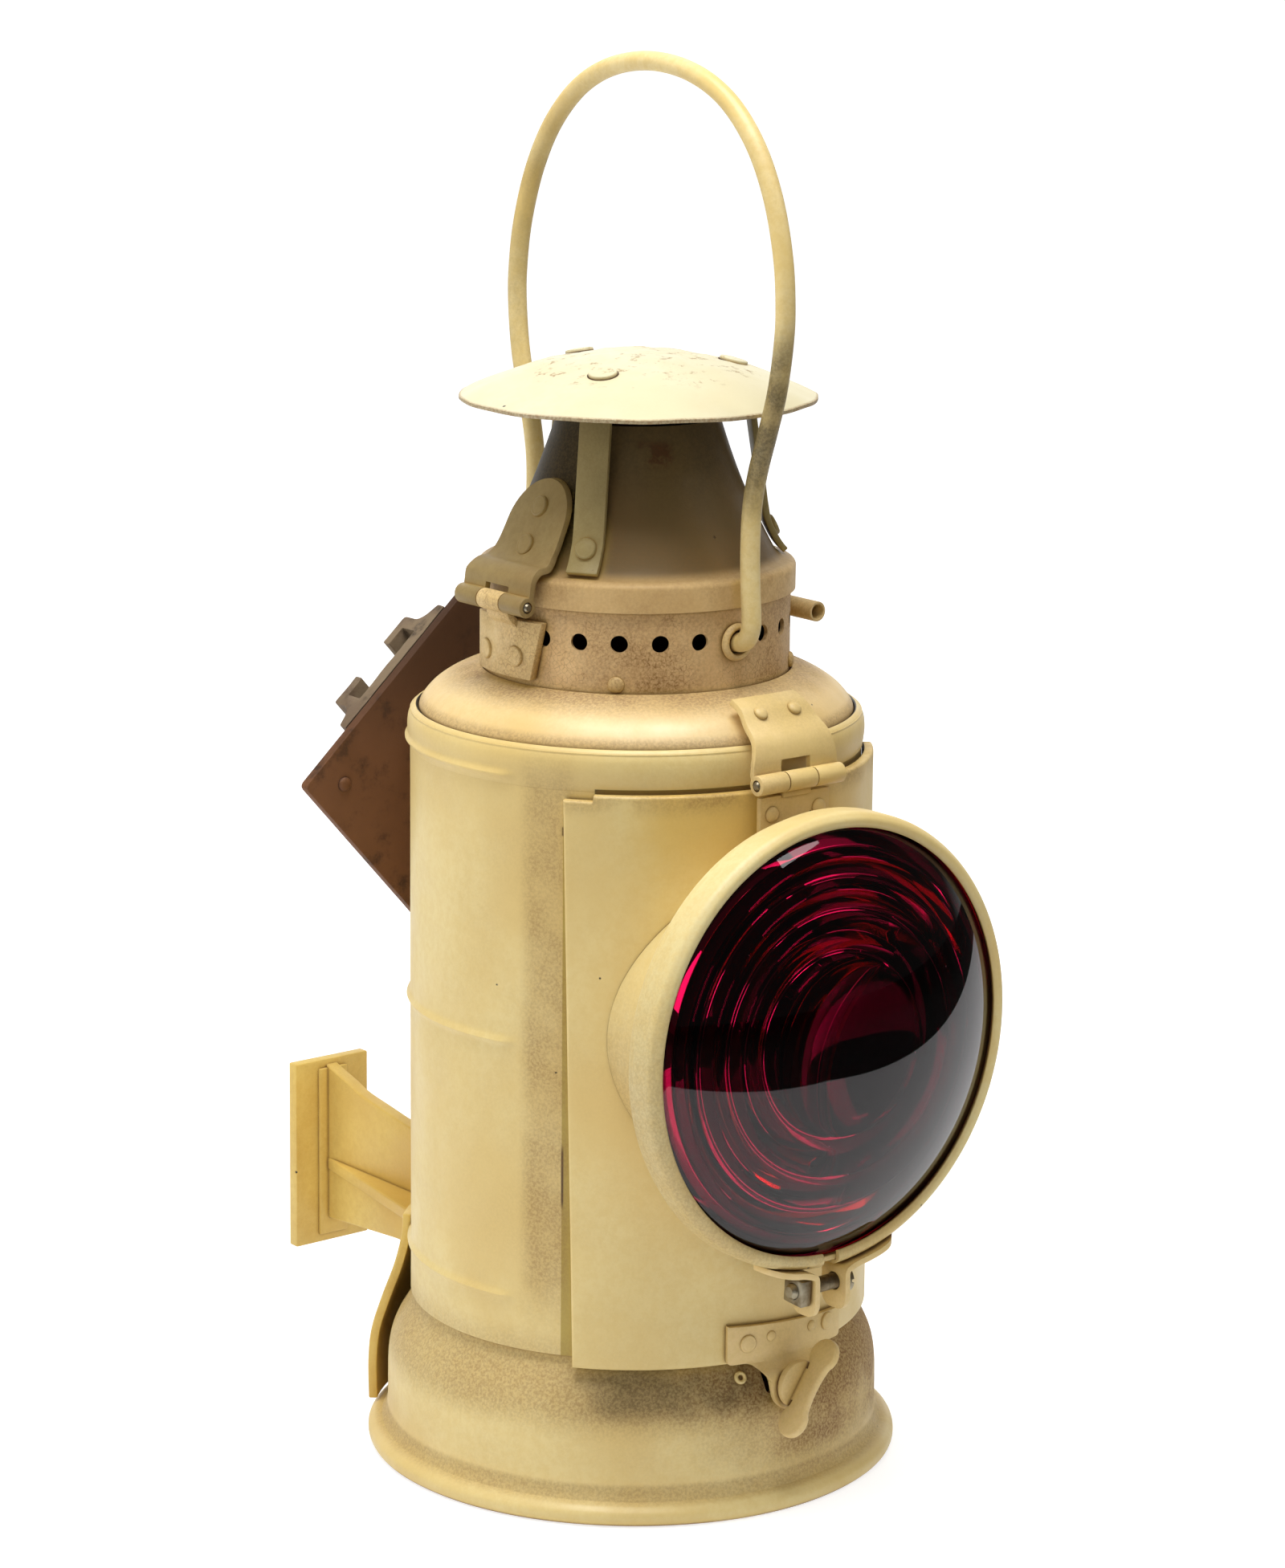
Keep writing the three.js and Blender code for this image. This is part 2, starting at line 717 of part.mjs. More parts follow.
// A flat bar from the foot of the cone up to the underside of the cap, drawn on the lens side.
function capStrap() {
  const under = capHeight(29) - GAP - STRAP.thickness / 2;
  const line = [
    [47.4, 295.2],
    [43.2, 301.6],
    [41.2, 307],
    [36.4, 340],
    [35.2, under - 3.6],
    [33.4, under - 1.4],
    [24.6, under - 0.1],
  ].map(([r, z]) => [-r, z]);
  const head = rivetHead(3.1, 1.5).rotateX(radians(-27)).translate(0, -43.3, 302.6);
  return join(acrossX(strip(line, STRAP.thickness), STRAP.width), head);
}

// ---- bail ---------------------------------------------------------------------------------------

// Heights are above the pivot. One half of the loop, from the pivot to the top.
const bailSide = [
  [46, 0],
  [50.6, 0],
  [54.6, 1.3],
  [56.6, 5],
  [56.6, 10],
  [55.6, 20],
  [55, 32],
  [55.4, 44],
  [57.6, 55],
  [61.4, 67],
  [65.2, 80],
  [67.4, 94],
  [BAIL.halfWidth, 106],
  [65.8, 122],
  [60, 140],
  [50.6, 155.6],
  [37, 168],
  [20, 175.4],
];

function bail() {
  const top = [0, BAIL.top - PIVOT.height];
  const rear = bailSide.map(([y, z]) => new THREE.Vector3(0, y, z));
  const front = bailSide.map(([y, z]) => new THREE.Vector3(0, -y, z)).reverse();
  const path = new THREE.CatmullRomCurve3([...rear, new THREE.Vector3(0, ...top), ...front]);
  const section = new THREE.Shape().absarc(0, 0, BAIL.wire, 0, 2 * Math.PI);
  const wire = new THREE.ExtrudeGeometry(section, { steps: 56, curveSegments: 4, extrudePath: path });
  const heads = [rodY(BAIL.head, 44.6, 46.2, 12), rodY(BAIL.head, -46.2, -44.6, 12)];
  return join(wire, ...heads);
}

// ---- brackets on the back -----------------------------------------------------------------------

function plateStandoff() {
  const block = box(-24, 24, 40, PLATE.face - GAP, 186, 226);
  return cut(block, rodZ(BODY.radius + GAP, 180, 230, 96));
}

// Local frame of the plate: its face lies on y = 0 and it reaches to +Y.
function mountingPlate() {
  const half = PLATE.side / 2;
  const plate = box(-half, half, 0, PLATE.thickness, -half, half);
  const inset = half - 11;
  const heads = [];
  for (const x of [-inset, inset]) {
    for (const z of [-inset, inset]) {
      heads.push(rivetHead(2.5, 1.6).translate(x, 0, z));
    }
  }
  return join(plate, ...heads);
}

// A channel with two inward lips, open at its ends, for a T-shaped slide to drop into.
function slideSocket() {
  const { width, inner, mouth, base, depth, lip, wall, length } = SOCKET;
  const floor = PLATE.thickness + GAP;
  const top = floor + base + depth + lip;
  const outside = inner / 2 + wall;
  const outline = [
    [-width / 2, floor],
    [width / 2, floor],
    [width / 2, floor + base - 1],
    [outside + 2.5, floor + base + 0.6],
    [outside, floor + base + 3],
    [outside, top - 1.5],
    [outside - 1.5, top],
    [mouth / 2, top],
    [mouth / 2, top - lip],
    [inner / 2, top - lip],
    [inner / 2, floor + base],
    [-inner / 2, floor + base],
    [-inner / 2, top - lip],
    [-mouth / 2, top - lip],
    [-mouth / 2, top],
    [-outside + 1.5, top],
    [-outside, top - 1.5],
    [-outside, floor + base + 3],
    [-outside - 2.5, floor + base + 0.6],
    [-width / 2, floor + base - 1],
  ];
  return slab(outline, PLATE.side / 2 - length, length);
}

const footLine = [
  [87.6, BASE.rimHeight + GAP],
  [87.8, 20],
  [86.7, 31],
  [83.2, 42.4],
  [79, 54],
  [76.6, 64],
  [76.2, 71],
];

function bracketFoot() {
  const ring = turned(shellOutline(footLine, FOOT.wall), 56);
  return common(ring, wedge(180 - FOOT.halfAngle, 180 + FOOT.halfAngle));
}

function rearBracket() {
  const { width, thickness, back, bottom, top } = FLANGE;
  const face = back - thickness;
  const flange = box(-width / 2, width / 2, face, back, bottom, top);
  const raised = box(-6, 6, face - 1.2, face + 1, bottom + 3, top - 3);
  const web = acrossX(
    [
      [60, 33],
      [130, 31.4],
      [face + 1, 28.2],
      [face + 1, 85.4],
      [150, 79.6],
      [125, 75],
      [100, 71.4],
      [60, 69],
    ],
    5,
  );
  const ribOutline = [
    [-2.4, face + 1],
    [-24, 60],
    [24, 60],
    [2.4, face + 1],
  ];
  const rib = slab(ribOutline, 46.6, 4.4);
  const behindFoot = footLine.map(([r, z]) => [r + GAP, z]);
  const room = turned([[0, 0], [behindFoot[0][0], 0], ...behindFoot, [BODY.radius + GAP, 72], [0, 72]], 96);
  return cut(join(flange, raised, web, rib), room);
}

// ---- oil burner inside --------------------------------------------------------------------------

function fount() {
  const { radius, bottom, top, wall, neck } = FOUNT;
  const outer = [
    [0, bottom],
    [radius - 1, bottom],
    [radius, bottom + 1],
    [radius, top - 12],
    [radius - 5, top - 5],
    [neck + 6, top],
    [neck, top],
  ];
  const inner = [
    [neck, top - wall],
    [neck + 5, top - wall],
    [radius - 6, top - 6],
    [radius - wall, top - 12.4],
    [radius - wall, bottom + 2.4],
    [radius - 2.6, bottom + wall],
    [0, bottom + wall],
  ];
  const filler = rodZ(FILLER.hole, top - 20, top + 20, INNER_ROUND).translate(FILLER.x, FILLER.y, 0);
  return cut(turned([...outer, ...inner], INNER_ROUND), filler);
}

function fillerCap() {
  const { top } = FOUNT;
  const { hole, flange } = FILLER;
  return turned(
    [
      [0, top - 9],
      [hole - GAP, top - 9],
      [hole - GAP, top + GAP],
      [flange, top + GAP],
      [flange, top + 5],
      [flange - 1.2, top + 6.2],
      [0, top + 6.2],
    ],
    SMALL_ROUND,
  );
}

function burnerCollar() {
  const { top, neck } = FOUNT;
  return turned(
    [
      [neck - 2, top - 6],
      [neck - GAP, top - 6],
      [neck - GAP, top + GAP],
      [neck + 5, top + GAP],
      [neck + 5, top + 5],
      [neck - 2, top + 5],
    ],
    INNER_ROUND,
  );
}


function burnerBody() {
  const { bottom, top, tubeX, tubeY } = BURNER;
  const dish = turned(
    [
      [12, bottom],
      [21, bottom],
      [21, bottom + 2.4],
      [25, bottom + 8],
      [25, top - 3],
      [23, top],
      [12, top],
    ],
    INNER_ROUND,
  );
  const bridge = box(-12.6, 12.6, -13, 13, bottom + 4, top - 2);
  const bore = box(-tubeX - GAP, tubeX + GAP, -tubeY - GAP, tubeY + GAP, 0, BIG);
  const shaftBore = rodX(1.7, 0, BIG, 12).translate(0, KNOB.y, KNOB.z);
  const spurPocket = box(5, tubeX, KNOB.y - 3, 0, KNOB.z - 3, KNOB.z + 3);
  return cut(join(dish, bridge), bore, shaftBore, spurPocket);
}

function wickTube() {
  const { bottom, tubeTop, tubeX, tubeY } = BURNER;
  const outer = box(-tubeX, tubeX, -tubeY, tubeY, bottom - 3, tubeTop);
  return cut(outer, box(-tubeX + 1, tubeX - 1, -tubeY + 1, tubeY - 1, 0, BIG));
}

function flameDome() {
  const { top } = BURNER;
  const shell = turned(
    [
      [23, top + GAP],
      [24, top + GAP],
      [23.4, top + 14],
      [19, top + 26],
      [12, top + 32],
      [12, top + 31],
      [18.4, top + 25],
      [22.4, top + 13.6],
    ],
    INNER_ROUND,
  );
  const vents = [30, 90, 150].map((degrees) =>
    rodX(2.4, -BIG, BIG, 8).rotateZ(radians(degrees)).translate(0, 0, top + 8),
  );
  return cut(shell, ...vents);
}

function wick() {
  return box(-BURNER.tubeX + 1.5, BURNER.tubeX - 1.5, -1.6, 1.6, 30, BURNER.tubeTop + 4);
}

function wickKnob() {
  const shaft = rodX(1.4, 2, 46, 12);
  const wheel = rodX(6, 44, 47.4, 24);
  const spur = rodX(2.2, 6, 9, 12);
  return join(shaft, wheel, spur);
}

// ---- assembly -----------------------------------------------------------------------------------

const lamp = new THREE.Group();

lamp.add(
  piece("base_shell", baseShell(), cream),
  piece("base_plate", basePlate(), cream),
  piece("body_shell", bodyShell(), cream),
  piece("body_band", bodyBand(), cream),
  piece("shoulder", shoulder(), cream),
  piece("vent_drum", ventDrum(), cream),
);

for (const [name, turn] of [["front_eyelet", 0], ["rear_eyelet", Math.PI]]) {
  const bush = piece(name, eyelet(), cream);
  bush.position.z = PIVOT.height;
  bush.rotation.z = turn;
  lamp.add(bush);
}

const tube = piece("side_tube", sideTube(), cream);
tube.position.set(TUBE.x, 0, TUBE.z);
lamp.add(tube, piece("side_tube_clip", tubeClip(), cream));

const doorHinge = group(
  piece("door_hinge_upper_leaf", doorHingeUpperLeaf(), cream),
  piece("door_hinge_lower_leaf", doorHingeLowerLeaf(), cream),
  piece("door_hinge_pin", hingePin(), steel),
);
doorHinge.position.set(0, DOOR_HINGE.y, DOOR_HINGE.z);
lamp.add(doorHinge);

const lidHinge = group(
  piece("lid_hinge_upper_leaf", lidHingeUpperLeaf(), cream),
  piece("lid_hinge_lower_leaf", lidHingeLowerLeaf(), cream),
  piece("lid_hinge_pin", hingePin(), steel),
);
lidHinge.position.set(LID_HINGE.x, 0, LID_HINGE.z);
lidHinge.rotation.z = -Math.PI / 2;
lamp.add(lidHinge);

lamp.add(
  piece("door_panel", doorPanel(), cream),
  piece("lens_collar", lensCollar(), cream),
  piece("lens_gasket", lensGasket(), rubber),
  piece("lens", lens(), redGlass),
  piece("bezel_band", bezelBand(), cream),
  piece("clamp_lug_right", clampLug(1), cream),
  piece("clamp_lug_left", clampLug(-1), cream),
  piece("clamp_screw", clampScrew(), steel),
  piece("clamp_nut", clampNut(), steel),
  piece("latch_plate", latchPlate(), cream),
  piece("latch_turn", latchTurn(), cream),
  piece("latch_cam", latchCam(), steel),
);

lamp.add(piece("lid_cone", lidCone(), sooty), piece("lid_cap", cap(), cream));
for (let i = 0; i < STRAP.count; i++) {
  const strap = piece("cap_strap_" + (i + 1), capStrap(), sooty);
  strap.rotation.z = radians(strapAngle(i));
  lamp.add(strap);
}

const handle = piece("bail", bail(), cream);
handle.position.z = PIVOT.height;
handle.rotation.y = radians(BAIL.lean);
lamp.add(handle);

const socketPiece = piece("slide_socket", slideSocket(), castIron);
const plateGroup = group(piece("mounting_plate", mountingPlate(), rust), socketPiece);
plateGroup.position.set(0, PLATE.face, PLATE.height);
plateGroup.rotation.y = radians(-PLATE.turn);
lamp.add(
  plateGroup,
  piece("plate_standoff", plateStandoff(), cream),
  piece("bracket_foot", bracketFoot(), cream),
  piece("rear_bracket", rearBracket(), cream),
);

const filler = piece("filler_cap", fillerCap(), brass);
filler.position.set(FILLER.x, FILLER.y, 0);
const knob = piece("wick_knob", wickKnob(), brass);
knob.position.set(0, KNOB.y, KNOB.z);
lamp.add(
  piece("fount_ring", fountRing(), tinplate),
  piece("fount", fount(), tinplate),
  filler,
  piece("burner_collar", burnerCollar(), brass),
  piece("burner_body", burnerBody(), brass),
  piece("wick_tube", wickTube(), brass),
  piece("flame_dome", flameDome(), brass),
  piece("wick", wick(), cotton),
  knob,
);

export default lamp;
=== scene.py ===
"""A railway signal lamp as it looks: painted sheet metal, a red stepped lens, and rusty cast brackets.

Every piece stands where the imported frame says, in the frame's own coordinates: +Z up, the lens
towards -Y, the origin on the lamp's axis at its underside. Outlines are in millimetres.
"""

import json
import math
from math import cos, pi, radians, sin

import bmesh
import bpy
from mathutils import Matrix, Vector, noise


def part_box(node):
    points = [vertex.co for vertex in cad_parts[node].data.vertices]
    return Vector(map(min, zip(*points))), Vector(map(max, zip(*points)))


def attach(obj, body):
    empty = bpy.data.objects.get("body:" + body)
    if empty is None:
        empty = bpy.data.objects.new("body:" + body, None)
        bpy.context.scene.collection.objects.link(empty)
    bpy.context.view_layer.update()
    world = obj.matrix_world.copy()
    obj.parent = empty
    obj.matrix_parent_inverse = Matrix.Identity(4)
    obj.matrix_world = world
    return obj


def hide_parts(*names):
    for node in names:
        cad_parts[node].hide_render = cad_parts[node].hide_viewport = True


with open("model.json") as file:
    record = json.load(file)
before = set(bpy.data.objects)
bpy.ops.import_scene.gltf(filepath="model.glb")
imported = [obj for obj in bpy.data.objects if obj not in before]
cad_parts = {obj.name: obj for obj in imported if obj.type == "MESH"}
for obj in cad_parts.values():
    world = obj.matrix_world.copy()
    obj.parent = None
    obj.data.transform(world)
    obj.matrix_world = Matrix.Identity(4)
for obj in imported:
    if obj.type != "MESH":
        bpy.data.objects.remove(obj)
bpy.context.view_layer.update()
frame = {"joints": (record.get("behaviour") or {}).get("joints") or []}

MM = 0.001
AROUND = 192  # facets of a large turned piece

# ---- places read from the frame, in millimetres ----


def node_box(name):
    low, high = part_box(name)
    return low / MM, high / MM


def heights(name):
    return [corner.z for corner in node_box(name)]


def middle(name):
    return [(a + b) / 2 for a, b in zip(*node_box(name))]


def joint_place(name):
    joint = next(j for j in frame["joints"] if j["name"] == name)
    return Vector(joint["pos_m"]) / MM


DOOR_PIN = joint_place("door_hinge")
LID_PIN = joint_place("lid_hinge")
BAIL_PIVOT = joint_place("bail_swing")
LATCH_PIVOT = joint_place("latch_turn")
BASE_RIM = node_box("base_shell")[1].x
BODY_R = node_box("body_shell")[1].x
BODY_LOW, BODY_TOP = heights("body_shell")
BAND_LOW = node_box("body_band")[0].z
SHOULDER_TOP = node_box("shoulder")[1].z
DRUM_R = 49.3  # its box holds its foot and eyelets too
DRUM_LOW, DRUM_TOP = heights("vent_drum")
SKIRT_R = node_box("lid_cone")[1].x
SKIRT_LOW, CONE_TOP = heights("lid_cone")
CAP_R = node_box("lid_cap")[1].x
CAP_RIM = node_box("lid_cap")[0].z
LENS_LOW, LENS_HIGH = node_box("lens")
LENS_Z = middle("lens")[2]
DOOR_LOW, DOOR_HIGH = heights("door_panel")
DOOR_R = 76.6

# ---- outlines ----


def unit(a, b):
    length = math.hypot(b[0] - a[0], b[1] - a[1]) or 1.0
    return (b[0] - a[0]) / length, (b[1] - a[1]) / length


CORNER_SHARE = 0.45  # the most of a side that a rounded corner takes


def rounded(points, radius=0.5, closed=True, steps=3):
    """The outline with its corners rounded. A point may carry its own radius as a third number."""
    made = []
    count = len(points)
    for i, point in enumerate(points):
        own = point[2] if len(point) > 2 else radius
        if own <= 0 or (not closed and i in (0, count - 1)):
            made.append(point[:2])
            continue
        before, after = points[i - 1], points[(i + 1) % count]
        to_before, to_after = unit(point, before), unit(point, after)
        room = min(math.dist(point[:2], before[:2]), math.dist(point[:2], after[:2]))
        reach = min(own, CORNER_SHARE * room)
        start = [point[k] + to_before[k] * reach for k in (0, 1)]
        end = [point[k] + to_after[k] * reach for k in (0, 1)]
        for step in range(steps + 1):
            t = step / steps
            wa, wb, wc = (1 - t) ** 2, 2 * t * (1 - t), t * t
            made.append(tuple(wa * start[k] + wb * point[k] + wc * end[k] for k in (0, 1)))
    return made


def flowing(points, steps=6):
    """A smooth line through the points."""

    def between(a, b, c, d, t):
        return 0.5 * (
            2 * b + (c - a) * t + (2 * a - 5 * b + 4 * c - d) * t * t + (3 * b - a - 3 * c + d) * t ** 3
        )

    made = []
    for i in range(len(points) - 1):
        near = (points[max(i - 1, 0)], points[i], points[i + 1], points[min(i + 2, len(points) - 1)])
        for step in range(steps):
            made.append(tuple(between(*four, step / steps) for four in zip(*near)))
    return made + [tuple(points[-1])]


def neighbours(line, i):
    return line[max(i - 1, 0)], line[min(i + 1, len(line) - 1)]


def walled(line, wall):
    """The line, and back along its inner side at the wall's thickness."""
    inner = []
    for i, (r, z) in enumerate(line):
        dr, dz = unit(*neighbours(line, i))
        inner.append((r - wall * dz, z + wall * dr))
    return list(line) + inner[::-1]


def divided(points, longest, closed=True):
    """The outline with no stretch longer than that."""
    made = []
    ends = points[1:] + (points[:1] if closed else [])
    for a, b in zip(points, ends):
        parts = max(1, math.ceil(math.dist(a, b) / longest))
        made += [tuple(a[k] + (b[k] - a[k]) * i / parts for k in (0, 1)) for i in range(parts)]
    return made if closed else made + [points[-1]]


# ---- meshes ----


def put(name, data):
    """An object in the scene."""
    made = bpy.data.objects.new(name, data)
    bpy.context.scene.collection.objects.link(made)
    return made


def new_piece(name, vertices, faces):
    mesh = bpy.data.meshes.new(name)
    mesh.from_pydata([Vector(v) * MM for v in vertices], [], faces)
    mesh.validate()
    edit = bmesh.new()
    edit.from_mesh(mesh)
    bmesh.ops.recalc_face_normals(edit, faces=edit.faces)
    edit.to_mesh(mesh)
    edit.free()
    return put(name, mesh)


def stitched(loops):
    """The faces between neighbouring loops of points."""
    faces = []
    for a, b in zip(loops, loops[1:]):
        for i in range(len(a)):
            j = (i + 1) % len(a)
            faces.append([a[i], a[j], b[j], b[i]])
    return faces


def grid_faces(start, columns, rows):
    """The faces of a grid of points that were made row by row."""
    across = columns + 1
    corners = [start + j * across + i for j in range(rows) for i in range(columns)]
    return [[a, a + 1, a + across + 1, a + across] for a in corners]


def grid_rim(start, columns, rows):
    """The points round such a grid's edge."""
    across, last = columns + 1, (columns + 1) * rows + columns
    rim = list(range(columns)) + [columns + across * j for j in range(rows)]
    rim += [last - i for i in range(columns)] + [across * (rows - j) for j in range(rows)]
    return [start + i for i in rim]


def turned(name, outline, segments=AROUND, forward=False, at=(0, 0, 0), move=None):
    """A closed [radius, height] outline turned round an upright axis, or one that points at -Y."""
    vertices, rows = [], []
    for r, z in outline:
        if r < 1e-6:
            rows.append([len(vertices)] * segments)
            vertices.append((0, 0, z))
            continue
        rows.append(list(range(len(vertices), len(vertices) + segments)))
        for i in range(segments):
            angle = 2 * pi * i / segments
            vertices.append((r * cos(angle), r * sin(angle), z))
    faces = []
    on_axis = outline[0][0] < 1e-6 and outline[-1][0] < 1e-6
    for k in range(len(rows) - (1 if on_axis else 0)):
        low, high = rows[k], rows[(k + 1) % len(rows)]
        for i in range(segments):
            j = (i + 1) % segments
            corners = list(dict.fromkeys((low[i], low[j], high[j], high[i])))
            if len(corners) > 2:
                faces.append(corners)
    if forward:
        vertices = [(x, -z, y) for x, y, z in vertices]
    if move:
        vertices = [move(Vector(v)) for v in vertices]
    return new_piece(name, [Vector(v) + Vector(at) for v in vertices], faces)


def slab(name, outline, low, high, plane="xy", bevel=0.3, steps=2):
    """A flat outline given a thickness along the third axis, with its edges eased."""
    place = {
        "xy": lambda u, v, w: (u, v, w),
        "xz": lambda u, v, w: (u, w, v),
        "yz": lambda u, v, w: (w, u, v),
    }[plane]
    count = len(outline)
    vertices = [place(u, v, w) for w in (low, high) for u, v in outline]
    ends = list(range(count)), list(range(count, 2 * count))
    piece = new_piece(name, vertices, [ends[0][::-1], ends[1], *stitched(ends)])
    if bevel:
        ease(piece, bevel, steps)
    return piece


def ease(piece, width=0.3, steps=2, angle=28):
    """Rounds the sharp edges of a piece."""
    modifier = piece.modifiers.new("ease", "BEVEL")
    modifier.width = width * MM
    modifier.segments = steps
    modifier.limit_method = "ANGLE"
    modifier.angle_limit = radians(angle)
    settle(piece)
    return piece


def settle(piece):
    """Makes a piece's modifiers part of its mesh."""
    graph = bpy.context.evaluated_depsgraph_get()
    mesh = bpy.data.meshes.new_from_object(piece.evaluated_get(graph))
    piece.modifiers.clear()
    piece.data = mesh


def combine(piece, tool, operation):
    modifier = piece.modifiers.new("combine", "BOOLEAN")
    modifier.operation = operation
    modifier.solver = "EXACT"
    modifier.object = tool
    settle(piece)
    bpy.data.objects.remove(tool)
    return piece


def cut(piece, *tools):
    for tool in tools:
        combine(piece, tool, "DIFFERENCE")
    return piece


def weld(piece, *others):
    for other in others:
        combine(piece, other, "UNION")
    return piece


def trimmed(piece, outline, low, high, plane):
    """What is inside the outline."""
    return combine(piece, slab("tool", outline, low, high, plane, 0), "INTERSECT")


def gather(name, parts):
    """Several closed shells as one piece."""
    edit = bmesh.new()
    for part in parts:
        part.data.transform(part.matrix_world)
        edit.from_mesh(part.data)
        bpy.data.objects.remove(part)
    mesh = bpy.data.meshes.new(name)
    edit.to_mesh(mesh)
    edit.free()
    return put(name, mesh)


def shift(piece, matrix):
    piece.data.transform(matrix)
    return piece


def moved(x=0.0, y=0.0, z=0.0):
    return Matrix.Translation(Vector((x, y, z)) * MM)


def spun(degrees, axis="Z"):
    return Matrix.Rotation(radians(degrees), 4, axis)


def rod(name, radius, start, end, segments=32, edge=0.25):
    """A straight round bar between two points, its ends eased."""
    axis = Vector(end) - Vector(start)
    long = axis.length
    corner = [(radius - edge, 0), (radius - 0.3 * edge, 0.3 * edge), (radius, edge)]
    outline = [(0, 0), *corner, *[(r, long - z) for r, z in corner[::-1]], (0, long)]
    return shift(turned(name, outline, segments), facing(start, axis))


def drill(radius, start, end, segments):
    return rod("tool", radius, start, end, segments, 0.01)


def block(name, low, high, bevel=0.0):
    outline = [(low[0], low[1]), (high[0], low[1]), (high[0], high[1]), (low[0], high[1])]
    return slab(name, outline, low[2], high[2], "xy", bevel)


def rivet(name, radius, height, place, flat=False):
    """A domed or flattened head that stands on its place, a matrix whose Z points out of the metal."""
    dome = [(sin(pi / 2 * t), 0.25 + 0.75 * cos(pi / 2 * t)) for t in (0, 0.3, 0.55, 0.75, 0.9, 1)]
    disc = [(0, 1), (0.62, 1), (0.74, 0.86), (0.84, 0.92), (0.95, 0.7), (1, 0.2 / height)]
    outline = [(radius * r, height * z) for r, z in (disc if flat else dome)]
    return shift(turned(name, [*outline, (radius, -0.6), (0, -0.6)], 28), place)


def facing(point, normal):
    turn = Vector(normal).to_track_quat("Z", "Y").to_matrix().to_4x4()
    return moved(*point) @ turn


def outwards(degrees, radius=1.0):
    """The x and y of a direction. Degrees count from the lens towards +X."""
    return radius * sin(radians(degrees)), -radius * cos(radians(degrees))


def on_wall(radius, degrees, z, rise=0.0):
    """A place on an upright wall, facing outwards and up by rise."""
    x, y = outwards(degrees)
    return facing((x * radius, y * radius, z), (x, y, rise))


def cylinder_sector(inner, outer, start, end, low, high, steps=24):
    def arc(radius, a, b):
        return [outwards(a + (b - a) * i / steps, radius) for i in range(steps + 1)]

    return slab("tool", arc(outer, start, end) + arc(inner, end, start), low, high, "xy", 0)


def waved(piece, amount, size):
    """Gives sheet metal its slight hand-worked unevenness, out and in from the lamp's axis."""
    for vertex in piece.data.vertices:
        co = vertex.co
        swell = noise.noise(co / (size * MM))
        out = Vector((co.x, co.y, 0))
        if out.length > 1e-5:
            vertex.co = co + out.normalized() * (amount * MM * (swell - 0.35))
    return piece


def finish(piece, body, material, node=None, smooth=35):
    """Shading, material and motion. A piece that is named after a CAD node, with _skin, stands for it."""
    piece.data.materials.clear()
    piece.data.materials.append(material)
    piece.data.shade_smooth()
    piece.data.set_sharp_from_angle(angle=radians(smooth))
    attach(piece, body)
    if piece.name.endswith("_skin"):
        node = node or piece.name.removesuffix("_skin")
    if node:
        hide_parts(node)
    return piece


# ---- materials ----


